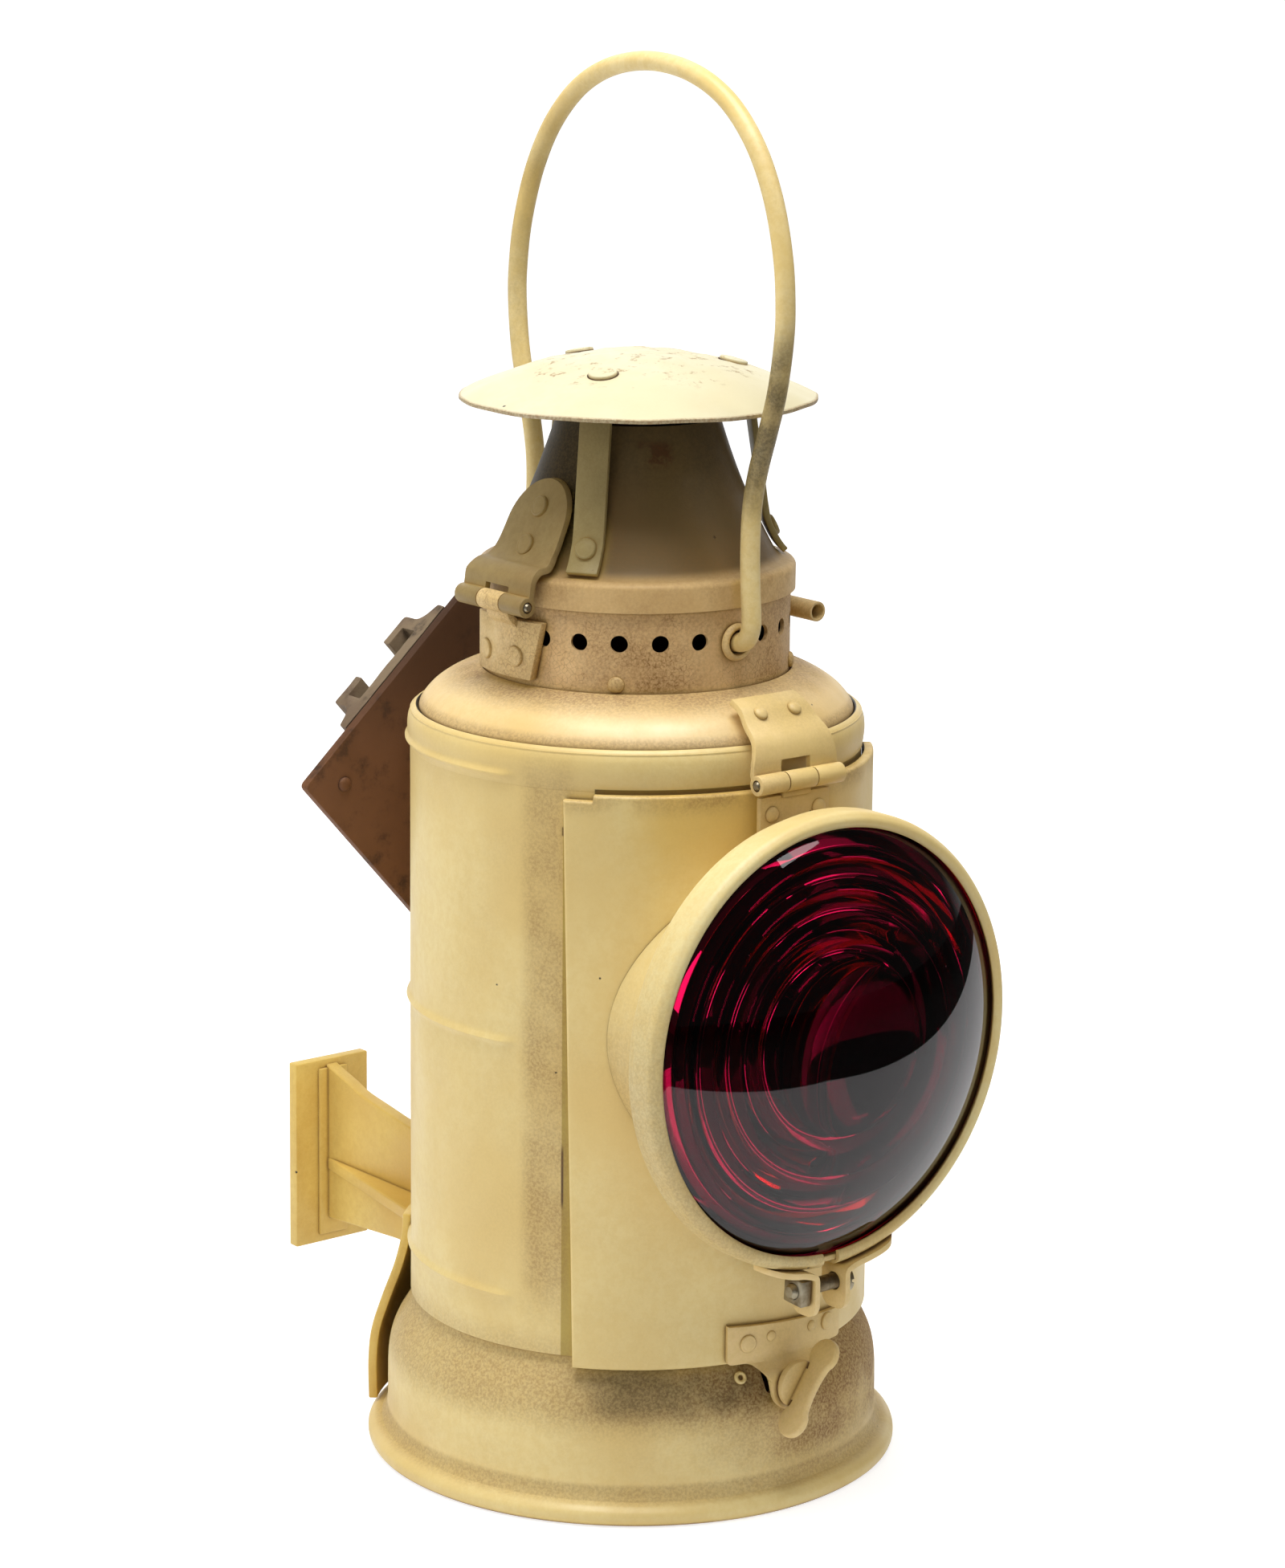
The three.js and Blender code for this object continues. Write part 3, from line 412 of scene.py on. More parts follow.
class Shader:
    """A material's node graph, built by calls that return sockets. Places are in metres."""

    def __init__(self, name):
        self.material = bpy.data.materials.new(name)
        self.material.use_nodes = True
        self.nodes = self.material.node_tree.nodes
        self.links = self.material.node_tree.links
        self.surface = self.nodes["Principled BSDF"]
        coordinates = self.nodes.new("ShaderNodeTexCoord")
        self.place, self.normal = coordinates.outputs["Object"], coordinates.outputs["Normal"]
        self.x, self.y, self.z = self.split(self.place)
        turn = self.math("ARCTAN2", self.x, self.math("MULTIPLY", self.y, -1.0))
        self.turn = self.math("MULTIPLY", turn, 180 / pi)  # degrees from the lens towards +X

    def node(self, kind, links, **values):
        """A new node, with its inputs linked or set."""
        node = self.nodes.new("ShaderNode" + kind)
        for key, value in (*links, *((key.replace("_", " "), value) for key, value in values.items())):
            self.set(node.inputs[key], value)
        return node

    def set(self, socket, value):
        if isinstance(value, bpy.types.NodeSocket):
            self.links.new(value, socket)
        elif value is not None:
            socket.default_value = value

    def split(self, vector):
        return self.node("SeparateXYZ", [(0, vector)]).outputs

    def math(self, operation, a, b=None, c=None, clamp=False):
        node = self.node("Math", [(0, a), (1, b), (2, c)])
        node.operation = operation
        node.use_clamp = clamp
        return node.outputs[0]

    def times(self, mask, *others):
        for other in others:
            mask = self.math("MULTIPLY", mask, other)
        return mask

    def plus(self, mask, *others):
        for other in others:
            mask = self.math("ADD", mask, other, clamp=True)
        return mask

    def distance(self, a, b):
        return self.math("SQRT", self.math("MULTIPLY_ADD", a, a, self.math("MULTIPLY", b, b)))

    def noise(self, scale, detail=4.0, roughness=0.55):
        place = [("Vector", self.place)]
        return self.node("TexNoise", place, Scale=scale, Detail=detail, Roughness=roughness).outputs["Fac"]

    def wisps(self, scale, low, high, least=0.0, most=1.0):
        """Soft irregular patches: fine noise cut off between low and high."""
        return self.ramp(self.noise(scale, 5, 0.6), low, high, least, most)

    def cells(self, scale, feature="F1"):
        """Distance from each cell's point, or from its edge, and a random number for each cell."""
        node = self.node("TexVoronoi", [("Vector", self.place)], Scale=scale)
        node.feature = feature
        if feature != "F1":
            return node.outputs["Distance"], None
        return node.outputs["Distance"], self.node("SeparateColor", [(0, node.outputs["Color"])]).outputs[0]

    def ramp(self, value, low, high, least=0.0, most=1.0):
        """least up to low, most from high on, and a smooth change between."""
        node = self.node("MapRange", [("Value", value)], From_Min=low, From_Max=high, To_Min=least, To_Max=most)
        node.interpolation_type = "SMOOTHSTEP"
        return node.outputs["Result"]

    def mix(self, factor, a, b):
        node = self.nodes.new("ShaderNodeMix")
        node.data_type = "RGBA"
        for key, value in (("Factor", factor), ("A", a), ("B", b)):
            self.set(node.inputs[key], value)
        return node.outputs["Result"]

    def inward(self):
        """1 on surfaces that face the lamp's axis."""
        across, along, _ = self.split(self.normal)
        out = self.math("MULTIPLY_ADD", self.y, along, self.math("MULTIPLY", self.x, across))
        return self.ramp(out, -0.02, -0.008, 1, 0)

    def band(self, value, low, high, soft):
        """1 between low and high, falling to 0 over soft on each side."""
        return self.times(self.ramp(value, low - soft, low), self.ramp(value, high, high + soft, 1, 0))

    def patch(self, turns, heights):
        """A band of directions and a band of heights."""
        return self.times(self.band(self.turn, *turns), self.band(self.z, *heights))

    def crease(self, distance, low=0.5, high=0.95):
        node = self.node("AmbientOcclusion", [], Distance=distance)
        node.samples = 6
        return self.ramp(node.outputs["AO"], low, high, 1, 0)

    def bump(self, height, strength, distance=0.001, normal=None):
        links = [("Height", height), ("Normal", normal)]
        return self.node("Bump", links, Strength=strength, Distance=distance).outputs["Normal"]

    def give(self, **inputs):
        for key, value in inputs.items():
            self.set(self.surface.inputs[key.replace("_", " ").title()], value)
        return self.material


def rgb(red, green, blue):
    """A colour given in display values from 0 to 255."""
    linear = (((c / 255 + 0.055) / 1.055) ** 2.4 if c > 10 else c / 3294.6 for c in (red, green, blue))
    return (*linear, 1.0)


CREAM = rgb(225, 204, 142)
CREAM_DEEP = rgb(216, 188, 120)
BOUNCED_YELLOW = rgb(208, 174, 78)
# Brown for dust and dirt, and for painted shade in creases.
GRIME_AND_SHADE = rgb(132, 96, 54)
# Sooty black, also used for painted shade under the lid's cap.
SOOT_AND_SHADE = rgb(46, 37, 20)
SOOT_INSIDE = rgb(24, 19, 13)
CHIP = rgb(46, 32, 20)


def painted(
    name, grime=0.15, dust=None, soot_and_shade=None, tints=(), paint=CREAM, deep=CREAM_DEEP, shine=0.5, hollow=False
):
    """Old cream paint, with painted reflected light and painted shade in its creases. grime is the share of
    fine brown dust all over it. dust is a function of the shader that returns a mask of more dust, the next
    argument one that returns a mask of sooty black, which on the cone and straps holds painted shade as well;
    tints are mask functions with their colours, some of them painted shade. A hollow piece is sooty on the
    side that faces the lamp's axis."""
    s = Shader(name)
    colour = s.mix(s.ramp(s.noise(14, 3), 0.35, 0.7), paint, deep)
    colour = s.mix(s.ramp(s.noise(340, 5, 0.7), 0.36, 0.66, 0.0, 0.45), colour, deep)
    for mask, tint in tints:
        colour = s.mix(mask(s), colour, tint)
    cloud = s.noise(26, 6, 0.62)
    amount = s.times(s.ramp(cloud, 0.32, 0.72, 0.15), grime)
    if dust:
        amount = s.plus(amount, dust(s))
    grains = s.ramp(s.noise(1100, 3, 0.7), 0.34, 0.66, 0.5)
    colour = s.mix(s.times(amount, grains), colour, GRIME_AND_SHADE)
    # Painted reflected light: creases turn yellower, where light bounces between the yellow surfaces.
    colour = s.mix(s.times(s.crease(0.004, 0.45, 0.9), 0.4), colour, BOUNCED_YELLOW)
    # Painted shade: darker brown in the finest creases, in patches.
    crease_shade = s.times(s.crease(0.0017, 0.35, 0.88), s.ramp(cloud, 0.2, 0.6, 0.5))
    colour = s.mix(crease_shade, colour, GRIME_AND_SHADE)
    if soot_and_shade:
        # Sooty black; on the cone and straps it stands for painted shade under the cap as well.
        colour = s.mix(s.times(soot_and_shade(s), s.ramp(grains, 0.5, 1.0, 0.82)), colour, SOOT_AND_SHADE)
    distance, chance = s.cells(130)
    ragged = s.math("ADD", distance, s.times(s.noise(900, 2), 0.12))
    chips = s.times(s.ramp(ragged, 0.09, 0.13, 1, 0), s.ramp(chance, 0.75, 0.77))
    chips = s.times(chips, s.ramp(s.noise(22, 2), 0.53, 0.56))
    colour = s.mix(chips, colour, CHIP)
    if hollow:
        colour = s.mix(s.inward(), colour, SOOT_INSIDE)
    rough = s.plus(s.ramp(s.noise(60, 4), 0.3, 0.7, 0.36, 0.5), s.times(amount, 0.3))
    peel = s.bump(s.noise(480, 4, 0.65), 0.16, 0.0004)
    worked = s.bump(s.noise(45, 3), 0.22, 0.0008, peel)
    chipped = s.bump(s.times(chips, -1.0), 0.6, 0.0003, worked)
    s.surface.inputs["Specular IOR Level"].default_value = shine
    return s.give(base_color=colour, roughness=rough, normal=chipped)


def base_smudge(s):
    return s.times(s.patch((-40, -10, 20), (0.037, 0.045, 0.008)), s.wisps(32, 0.32, 0.62), 0.6)


def base_dust(s):
    rim = s.times(s.band(s.z, 0.0075, 0.0105, 0.002), 0.45)
    top = s.times(s.band(s.z, 0.036, 0.05, 0.012), 0.5)
    right = s.times(s.ramp(s.turn, -45, 20, 0.05), s.wisps(40, 0.3, 0.65, 0.35), s.ramp(s.z, 0.008, 0.02))
    return s.plus(rim, top, right)


def body_dust(s):
    """A strip beside the door, and the body's foot."""
    strip = s.times(s.patch((-64, -56.5, 5), (0.08, 0.222, 0.03)), s.wisps(44, 0.3, 0.6, 0.4), 0.5)
    return s.plus(strip, s.times(s.ramp(s.z, 0.05, 0.06, 1, 0), 0.3))


def door_strip_shade(s):
    """Yellower, darker paint in the narrow gap that the door leaves beside it: built-up paint, and painted shade
    of the recess.
    """
    return s.patch((-56.4, -50, 0.12), (0.046, 0.2245, 0.0008))


def door_gap_shadow_and_chip(s):
    """Painted shadow along the door's top edge and in a short stretch of the gap beside it, and one dark chip
    there.
    """
    top = s.patch((-48.4, 50, 0.3), (0.2319, 0.2333, 0.0004))
    side = s.patch((-56.5, -56.1, 0.2), (0.101, 0.116, 0.004))
    chip = s.patch((-56.6, -56.0, 0.3), (0.2185, 0.2205, 0.0008))
    return s.plus(top, side, chip)


def door_dust(s):
    return s.times(s.ramp(s.z, 0.224, 0.2315), s.wisps(40, 0.3, 0.6), 0.55)


def door_yellow_shade(s):
    """Painted shade and reflected light: the paint is yellower above the neck, towards the hinge."""
    return s.times(s.band(s.turn, -30, 8, 14), s.ramp(s.z, 0.19, 0.225), 0.75)


def shoulder_dust(s):
    near_drum = s.times(s.ramp(s.z, 0.252, 0.2585, 0.0, 0.8), s.wisps(24, 0.25, 0.6, 0.4))
    groove = s.times(s.ramp(s.z, 0.247, 0.2495, 1, 0), 0.5)
    return s.plus(near_drum, groove)


def plate_shade(s):
    return s.ramp(s.z, 0.205, 0.26, 0.0, 0.85)


def drum_dust(s):
    """Crazed paint with brown in its cracks."""
    cracks = s.times(s.ramp(s.cells(620, "DISTANCE_TO_EDGE")[0], 0.02, 0.09, 1, 0), 0.35)
    return s.plus(s.wisps(20, 0.3, 0.65, 0.0, 0.4), s.times(cracks, s.ramp(s.noise(30, 3), 0.4, 0.6)))


def cone_stain_and_shade(s):
    """The cone is browner above its foot: sooty, and painted shade under the cap."""
    return s.ramp(s.z, 0.2925, 0.2965)


def cone_soot_and_shade(s):
    # Sooty, and painted shade under the cap, darker up the cone.
    high = s.times(s.ramp(s.z, 0.298, 0.335, 0.0, 0.85), s.wisps(30, 0.25, 0.7, 0.7))
    # Painted shadow on the cone's left side, by the strap and the hinge leaf.
    left = s.times(s.ramp(s.turn, -72, -56, 0.75, 0), s.ramp(s.z, 0.294, 0.304))
    return s.plus(high, left)


def cone_rust(s):
    spot = s.patch((-36, -20, 6), (0.3285, 0.333, 0.003))
    return s.times(spot, s.ramp(s.noise(120, 5, 0.7), 0.42, 0.56))


def strap_soot_and_shade(s):
    # Darker towards the top: sooty, and painted shade under the cap.
    return s.ramp(s.z, 0.3, 0.35, 0.05, 0.4)


def bail_soot(s):
    front = s.times(s.band(s.z, 0.328, 0.358, 0.022), s.ramp(s.y, -0.01, 0, 1, 0), 0.8)
    rear = s.times(s.band(s.z, 0.36, 0.41, 0.03), s.ramp(s.y, -0.01, 0), 0.25)
    return s.times(s.plus(front, rear), s.wisps(70, 0.3, 0.6, 0.5))


def cap_dust(s):
    """Brown in the dents round the cap's middle, and along its rim."""
    away = s.distance(s.x, s.y)
    dents = s.times(s.band(away, 0.008, 0.036, 0.006), s.ramp(s.noise(210, 5, 0.7), 0.55, 0.66))
    return s.times(s.plus(dents, s.ramp(away, 0.0562, 0.0571)), 0.75)


def cup_inside(s):
    """The lens's seat and neck are dark inside."""
    away = s.distance(s.x, s.math("SUBTRACT", s.z, LENS_Z * MM))
    forward = s.math("SUBTRACT", s.math("MULTIPLY", s.y, -1.0), s.math("MULTIPLY_ADD", away, 0.55, 0.0497))
    seat = s.times(s.ramp(away, 0.0692, 0.0695, 1, 0), s.ramp(forward, 0, 0.0003))
    return s.plus(s.times(seat, s.ramp(s.y, -0.0977, -0.0974)), s.ramp(away, 0.0531, 0.0534, 1, 0))


def bezel_dust(s):
    low_left = s.math("SUBTRACT", s.math("MULTIPLY", s.x, -1.0), s.math("SUBTRACT", s.z, 0.155))
    return s.ramp(low_left, 0, 0.09, 0.0, 0.4)


# The door's tints: painted shade in its gaps, with built-up paint and one dark chip.
DOOR_TINTS = [(door_strip_shade, rgb(176, 154, 74)), (door_gap_shadow_and_chip, rgb(58, 44, 24))]
# The cone's brown tint is sooty paint with painted shade under the cap, beside a rust spot.
CONE_TINTS = [(cone_stain_and_shade, rgb(112, 92, 56)), (cone_rust, rgb(92, 50, 24))]
CUP_TINTS = [(cup_inside, rgb(34, 27, 20))]

PAINT = painted("cream_paint")
BASE_PAINT = painted("base_paint", 0.12, base_dust, base_smudge, hollow=True)
BODY_PAINT = painted("body_paint", 0.14, body_dust, tints=DOOR_TINTS, hollow=True)
DOOR_PAINT = painted("door_paint", 0.1, door_dust, tints=[(door_yellow_shade, rgb(214, 178, 92))], hollow=True)
SHOULDER_PAINT = painted(
    "shoulder_paint", 0.14, shoulder_dust, paint=rgb(234, 208, 152), deep=rgb(224, 190, 122), shine=0.9
)
DRUM_PAINT = painted(
    "drum_paint", 0.5, drum_dust, paint=rgb(234, 202, 148), deep=rgb(220, 180, 122), hollow=True
)
DUSTY_PAINT = painted("dusty_paint", 0.45, drum_dust, paint=rgb(230, 204, 146), deep=rgb(216, 182, 118))
CONE_PAINT = painted(
    "cone_paint", 0.5, None, cone_soot_and_shade, CONE_TINTS, rgb(222, 190, 134), rgb(196, 160, 104), 0.3, hollow=True
)
# Darker paint than the cream: sooty, and painted shade under the cap.
STRAP_PAINT = painted("strap_paint", 0.25, None, strap_soot_and_shade, (), rgb(168, 152, 102), rgb(146, 130, 84), 0.35)
HINGE_PAINT = painted("hinge_paint", 0.3, paint=rgb(228, 200, 142))
# Darker paint than the cream: sooty, and painted shade under the cap.
LID_LEAF_PAINT = painted("lid_leaf_paint", 0.35, paint=rgb(150, 130, 84), deep=rgb(124, 104, 64), shine=0.35)
# Paler, whiter paint than the cream: a painted highlight of the brightly lit top.
CAP_PAINT = painted("cap_paint", 0.05, cap_dust, paint=rgb(212, 206, 178), deep=rgb(206, 196, 158))
BEZEL_PAINT = painted("bezel_paint", 0.12, bezel_dust, tints=CUP_TINTS, paint=rgb(222, 206, 150))
BAIL_PAINT = painted("bail_paint", 0.22, soot_and_shade=bail_soot, paint=rgb(228, 208, 152), deep=rgb(212, 182, 108))
# Yellower than the cream paint: painted reflected light from the bracket's creases.
BRACKET_PAINT = painted("bracket_paint", 0.15, paint=rgb(222, 192, 106), deep=rgb(206, 168, 82))


def rusty(name, base, light, dark, depth, shade=None):
    s = Shader(name)
    patches = s.noise(28, 6, 0.65)
    colour = s.mix(s.ramp(patches, 0.35, 0.65), base, light)
    colour = s.mix(s.ramp(s.noise(75, 6, 0.7), 0.5, 0.72), colour, dark)
    if shade:
        colour = s.mix(shade(s), colour, dark)
    colour = s.mix(s.crease(0.003, 0.4, 0.9), colour, dark)
    rough = s.ramp(patches, 0.3, 0.7, 0.55, 0.8)
    lumps = s.bump(s.noise(40, 4), 0.4, 0.001, s.bump(s.noise(230, 6, 0.7), depth, 0.0006))
    return s.give(base_color=colour, roughness=rough, normal=lumps, metallic=0.15)


RUSTY = rusty("rusty_plate", rgb(104, 66, 38), rgb(118, 78, 48), rgb(60, 38, 22), 0.25, plate_shade)
CAST = rusty("cast_socket", rgb(104, 84, 66), rgb(128, 110, 86), rgb(52, 41, 32), 0.6)


def bare_metal(name, colour, tarnish, rough, scale=90):
    s = Shader(name)
    stain = s.noise(scale, 5, 0.6)
    shade = s.mix(s.ramp(stain, 0.35, 0.7), colour, tarnish)
    roughness = s.ramp(stain, 0.3, 0.75, rough, rough + 0.25)
    scuffs = s.bump(s.noise(500, 3), 0.1, 0.0003)
    return s.give(base_color=shade, roughness=roughness, metallic=0.9, normal=scuffs)


STEEL = bare_metal("bare_steel", rgb(170, 162, 140), rgb(110, 92, 64), 0.35)
TINPLATE = bare_metal("tinplate", rgb(92, 90, 82), rgb(50, 45, 36), 0.5, 30)
BRASS = bare_metal("burner_brass", rgb(70, 54, 30), rgb(30, 24, 15), 0.6, 60)


def gasket_rubber():
    s = Shader("gasket_rubber")
    shade = s.mix(s.ramp(s.noise(150, 4), 0.4, 0.7), rgb(22, 19, 17), rgb(44, 38, 32))
    return s.give(base_color=shade, roughness=0.7, normal=s.bump(s.noise(400, 3), 0.2, 0.0003))


def wick_cotton():
    s = Shader("wick_cotton")
    wave = s.node("TexWave", [("Vector", s.place)], Scale=320).outputs["Fac"]
    cotton = s.mix(wave, rgb(132, 122, 98), rgb(104, 92, 70))
    charred = s.mix(s.ramp(s.z, 0.134, 0.138), cotton, rgb(24, 20, 18))
    return s.give(base_color=charred, roughness=0.95, normal=s.bump(wave, 0.4, 0.0004))


def ruby_glass():
    """Deep red glass with a few specks of dust on it."""
    s = Shader("ruby_glass")
    s.surface.inputs["Transmission Weight"].default_value = 1.0
    s.surface.inputs["IOR"].default_value = 1.5
    tint = s.mix(s.ramp(s.noise(12, 2), 0.3, 0.7), (0.42, 0.003, 0.042, 1), (0.36, 0.002, 0.034, 1))
    distance, chance = s.cells(200)
    specks = s.times(s.ramp(distance, 0.04, 0.07, 0.4, 0), s.ramp(chance, 0.95, 0.96))
    return s.give(base_color=tint, roughness=s.math("ADD", specks, 0.015))


RUBBER = gasket_rubber()
COTTON = wick_cotton()
RUBY = ruby_glass()

# ---- base ----


BASE_WALL = 1.5
SLOT_HALF, SLOT_LOW, SLOT_HIGH = 7.4, 36.6, 43.9
DENT_R, DENT_DEPTH = 9.0, 1.3
FLARE = [
    (81.2, 8.6), (80.5, 13), (80.4, 21), (80.2, 28), (79.2, 34), (77, 39.4), (74.2, 44), (72.1, 47.6),
    (71.3, 51),
]


def make_base():
    flare = flowing(FLARE, 6)
    rim = rounded(
        [(BASE_RIM - 7, 0, 0.3), (BASE_RIM - 1.2, 0, 1), (BASE_RIM, 1.8, 1.5), (BASE_RIM, 4.2, 1.8),
         (BASE_RIM - 2.2, 6.2, 1.5), (BASE_RIM - 4.4, 6.9, 0.6)],
        closed=False, steps=4,
    )
    inner = [(r - BASE_WALL, z) for r, z in flare[::-1] if z > 9]
    outline = [*rim, *flare, (71.1, 55), (71.1 - BASE_WALL, 55), *inner, (78.9, 0)]
    piece = turned("base_shell_skin", divided(outline, 3.0), 256)
    corners = [(-SLOT_HALF, SLOT_LOW), (SLOT_HALF, SLOT_LOW), (SLOT_HALF, SLOT_HIGH), (-SLOT_HALF, SLOT_HIGH)]
    cut(piece, slab("tool", rounded(corners, 1.5), -100, -60, "xz", 0))
    dent = on_wall(77.2, -38.8, 40).translation
    for vertex in piece.data.vertices:
        away = (vertex.co - dent).length / MM
        if away < DENT_R:
            out = Vector((vertex.co.x, vertex.co.y, 0)).normalized()
            vertex.co -= out * MM * DENT_DEPTH * (1 - (away / DENT_R) ** 2) ** 2
    waved(piece, 0.25, 38)
    finish(piece, "lamp", BASE_PAINT)

    bowl = rounded([(78.4, 0, 1.0), (78.4, 6, 0.4), (76.9, 6, 0.4), (76.9, 1.6, 1.0)], 0.4)
    finish(turned("base_plate_skin", [(0, 0), *bowl, (0, 1.6)], 128), "lamp", PAINT)

    ring = rounded([(0.8, -0.8), (2.1, -0.8), (2.1, 0.6), (1.5, 1.0), (0.8, 0.6)], 0.25)
    finish(shift(turned("base_rivet_ring", ring, 32), on_wall(75.2, -11.5, 42.4, 0.59)), "lamp", PAINT)


# ---- body ----

BEAD_HEIGHTS = (67.0, 150.0, 235.5)
BEAD_END, BEAD_FADE = 69.6, 2.5  # degrees from the lens
BEAD_OUT, BEAD_WIDTH = 1.2, 1.15
BODY_WALL = 1.4


def bead(point):
    """The raised beads that run round the back of the body and die out before the door."""
    radius = math.hypot(point.x, point.y)
    if radius < BODY_R - 0.7:
        return point
    angle = abs(math.degrees(math.atan2(point.x, -point.y)))
    run = min(1.0, max(0.0, (angle - BEAD_END) / BEAD_FADE))
    rise = sum(math.exp(-(((point.z - z) / BEAD_WIDTH) ** 2)) for z in BEAD_HEIGHTS)
    grow = 1 + BEAD_OUT * run * rise / radius
    return Vector((point.x * grow, point.y * grow, point.z))


def make_body():
    rows = [BODY_LOW]
    while rows[-1] < BODY_TOP - 0.1:
        near = min(abs(rows[-1] - z) for z in BEAD_HEIGHTS)
        rows.append(min(BODY_TOP, rows[-1] + (0.6 if near < 4.5 else 3.0)))
    inner = BODY_R - BODY_WALL
    outline = [(BODY_R, z) for z in rows] + [(inner, z) for z in rows[::-3]] + [(inner, BODY_LOW)]
    piece = turned("body_shell_skin", outline, 256, move=bead)
    cut(piece, cylinder_sector(55, 90, -50, 50, 62, 222))
    waved(piece, 0.2, 60)
    finish(piece, "lamp", BODY_PAINT)

    roll = [
        (BODY_R - 0.1, BAND_LOW, 0.05), (BODY_R + 0.06, BAND_LOW, 0.05), (BODY_R + 0.7, BAND_LOW + 4, 3),
        (BODY_R + 0.95, 239.5, 3), (BODY_R + 0.6, 242.6, 2), (BODY_R - 0.5, 244.9, 1.2), (BODY_R - 1.7, 245.7, 1),
        (BODY_R - 2.5, 245.3, 0.4), (BODY_R - 2.5, 244.6, 0.1), (BODY_R - 0.1, BODY_TOP + 0.1, 0.1),
    ]
    outline = divided(rounded(roll, 0.5, steps=5), 0.7)
    piece = waved(turned("body_band_skin", outline, 256, move=bead), 0.2, 60)
    finish(piece, "lamp", BODY_PAINT)

    dome = [
        (70.1, 245), (69.3, 247.2), (66.4, 250.8), (62.8, 253.6), (58.8, 255.8), (54.5, 257.5),
        (50.1, SHOULDER_TOP - 0.1),
    ]
    piece = turned("shoulder_skin", divided(walled(flowing(dome, 5), BODY_WALL), 2.5), 224)
    waved(piece, 0.3, 30)
    finish(piece, "lamp", SHOULDER_PAINT)


VENTS = 24  # two of them are the bail's bushes
VENT_R, VENT_Z = 2.75, 274.4
BUSH_HOLE = 4.8
DRUM_WALL = 1.3
DRUM_FOOT = 53.8


def make_drum():
    inner, ledge = DRUM_R - DRUM_WALL, DRUM_LOW + DRUM_WALL
    outline = rounded(
        [(inner, DRUM_LOW), (DRUM_FOOT, DRUM_LOW), (DRUM_FOOT, ledge), (DRUM_R, ledge, 1.0),
         (DRUM_R, DRUM_TOP), (inner, DRUM_TOP)],
        0.3,
    )
    piece = turned("vent_drum_skin", divided(outline, 3.0), 240)
    drills = []
    for i in range(VENTS):
        radius, height = (VENT_R, VENT_Z) if i % (VENTS // 2) else (BUSH_HOLE, BAIL_PIVOT.z)
        start, end = [(*outwards(360 * i / VENTS, reach), height) for reach in (inner - 5, DRUM_R + 5)]
        drills.append(drill(radius, start, end, 28))
    cut(piece, gather("drills", drills))
    waved(piece, 0.12, 25)
    finish(piece, "lamp", DRUM_PAINT)
    heads = [rivet("head", 2.6, 1.7, on_wall(DRUM_R - 0.2, turn, 261.5)) for turn in (-46, 44, 134, 224)]
    finish(gather("drum_rivets", heads), "lamp", DUSTY_PAINT)

    bush = rounded(
        [(3.9, 46.7), (4.5, 46.7), (4.5, DRUM_R + 0.6, 0.2), (6, DRUM_R + 0.4, 0.5), (6, DRUM_R + 1.4, 0.9),
         (5, DRUM_R + 2.5, 0.9), (3.9, DRUM_R + 2.2, 0.7)],
        0.3, steps=4,
    )
    for name, turn in (("front_eyelet", 0), ("rear_eyelet", 180)):
        piece = turned(name + "_skin", bush, 48, forward=True)
        shift(piece, moved(z=BAIL_PIVOT.z) @ spun(turn))
        finish(piece, "lamp", DUSTY_PAINT)


def make_side_tube():
    low, high = node_box("side_tube")
    x, _, z = middle("side_tube")
    outline = rounded([(2.4, low.y), (3.3, low.y), (3.3, high.y), (2.4, high.y)], 0.3)
    piece = turned("side_tube_skin", [(r, -y) for r, y in outline], 40, forward=True, at=(x, 0, z))
    finish(piece, "lamp", DUSTY_PAINT)
    clip = rod("side_tube_clip_skin", 5.1, (x, -5, z), (x, 5, z), 40)
    weld(clip, block("tool", (x - 6.4, -5, z - 5), (x, 5, z + 5)))
    cut(clip, drill(3.6, (x, -8, z), (x, 8, z), 40), drill(DRUM_R + 0.3, (0, 0, 250), (0, 0, 300), 192))
    finish(ease(clip, 0.3), "lamp", DUSTY_PAINT)


# ---- hinges ----

KNUCKLE = 3.2  # radius
PIN = 1.5  # radius
LEAF = 1.9  # thickness
HINGE_HALF = 17.0  # half of the hinge's length
THIRD = 5.9  # half of its middle knuckle's room
TONGUE = 5.6  # half of the middle leaf's width


def strip(line, thickness):
    """A bent strip's outline: the line with half the thickness on each side."""
    sides = []
    for reach in (-thickness / 2, thickness / 2):
        side = []
        for i, (u, v) in enumerate(line):
            du, dv = unit(*neighbours(line, i))
            side.append((u - reach * dv, v + reach * du))
        sides.append(side)
    return sides[0] + sides[1][::-1]


def with_knuckles(piece, *spans):
    """Welds on a knuckle for each span along the pin, and bores them."""
    weld(piece, *[rod("tool", KNUCKLE, (start, 0, 0), (end, 0, 0), 40, 0.3) for start, end in spans])
    return cut(piece, drill(PIN + 0.3, (-30, 0, 0), (30, 0, 0), 32))


OUTER_SPANS = ((-HINGE_HALF, -THIRD), (THIRD, HINGE_HALF))
MIDDLE_SPAN = (-THIRD + 0.3, THIRD - 0.3)


def hinge_pin(node, place):
    """The pin with its two peened ends."""
    end = HINGE_HALF + 0.5
    tip = [(0, end), (0.9, end), (1.4, end - 0.5), (PIN, end - 1)]
    outline = [(r, -z) for r, z in tip] + tip[::-1]
    piece = shift(turned(node + "_skin", outline, 24), place @ spun(90, "Y"))
    finish(piece, "lamp", STEEL)
    finish(piece, "lamp", STEEL)


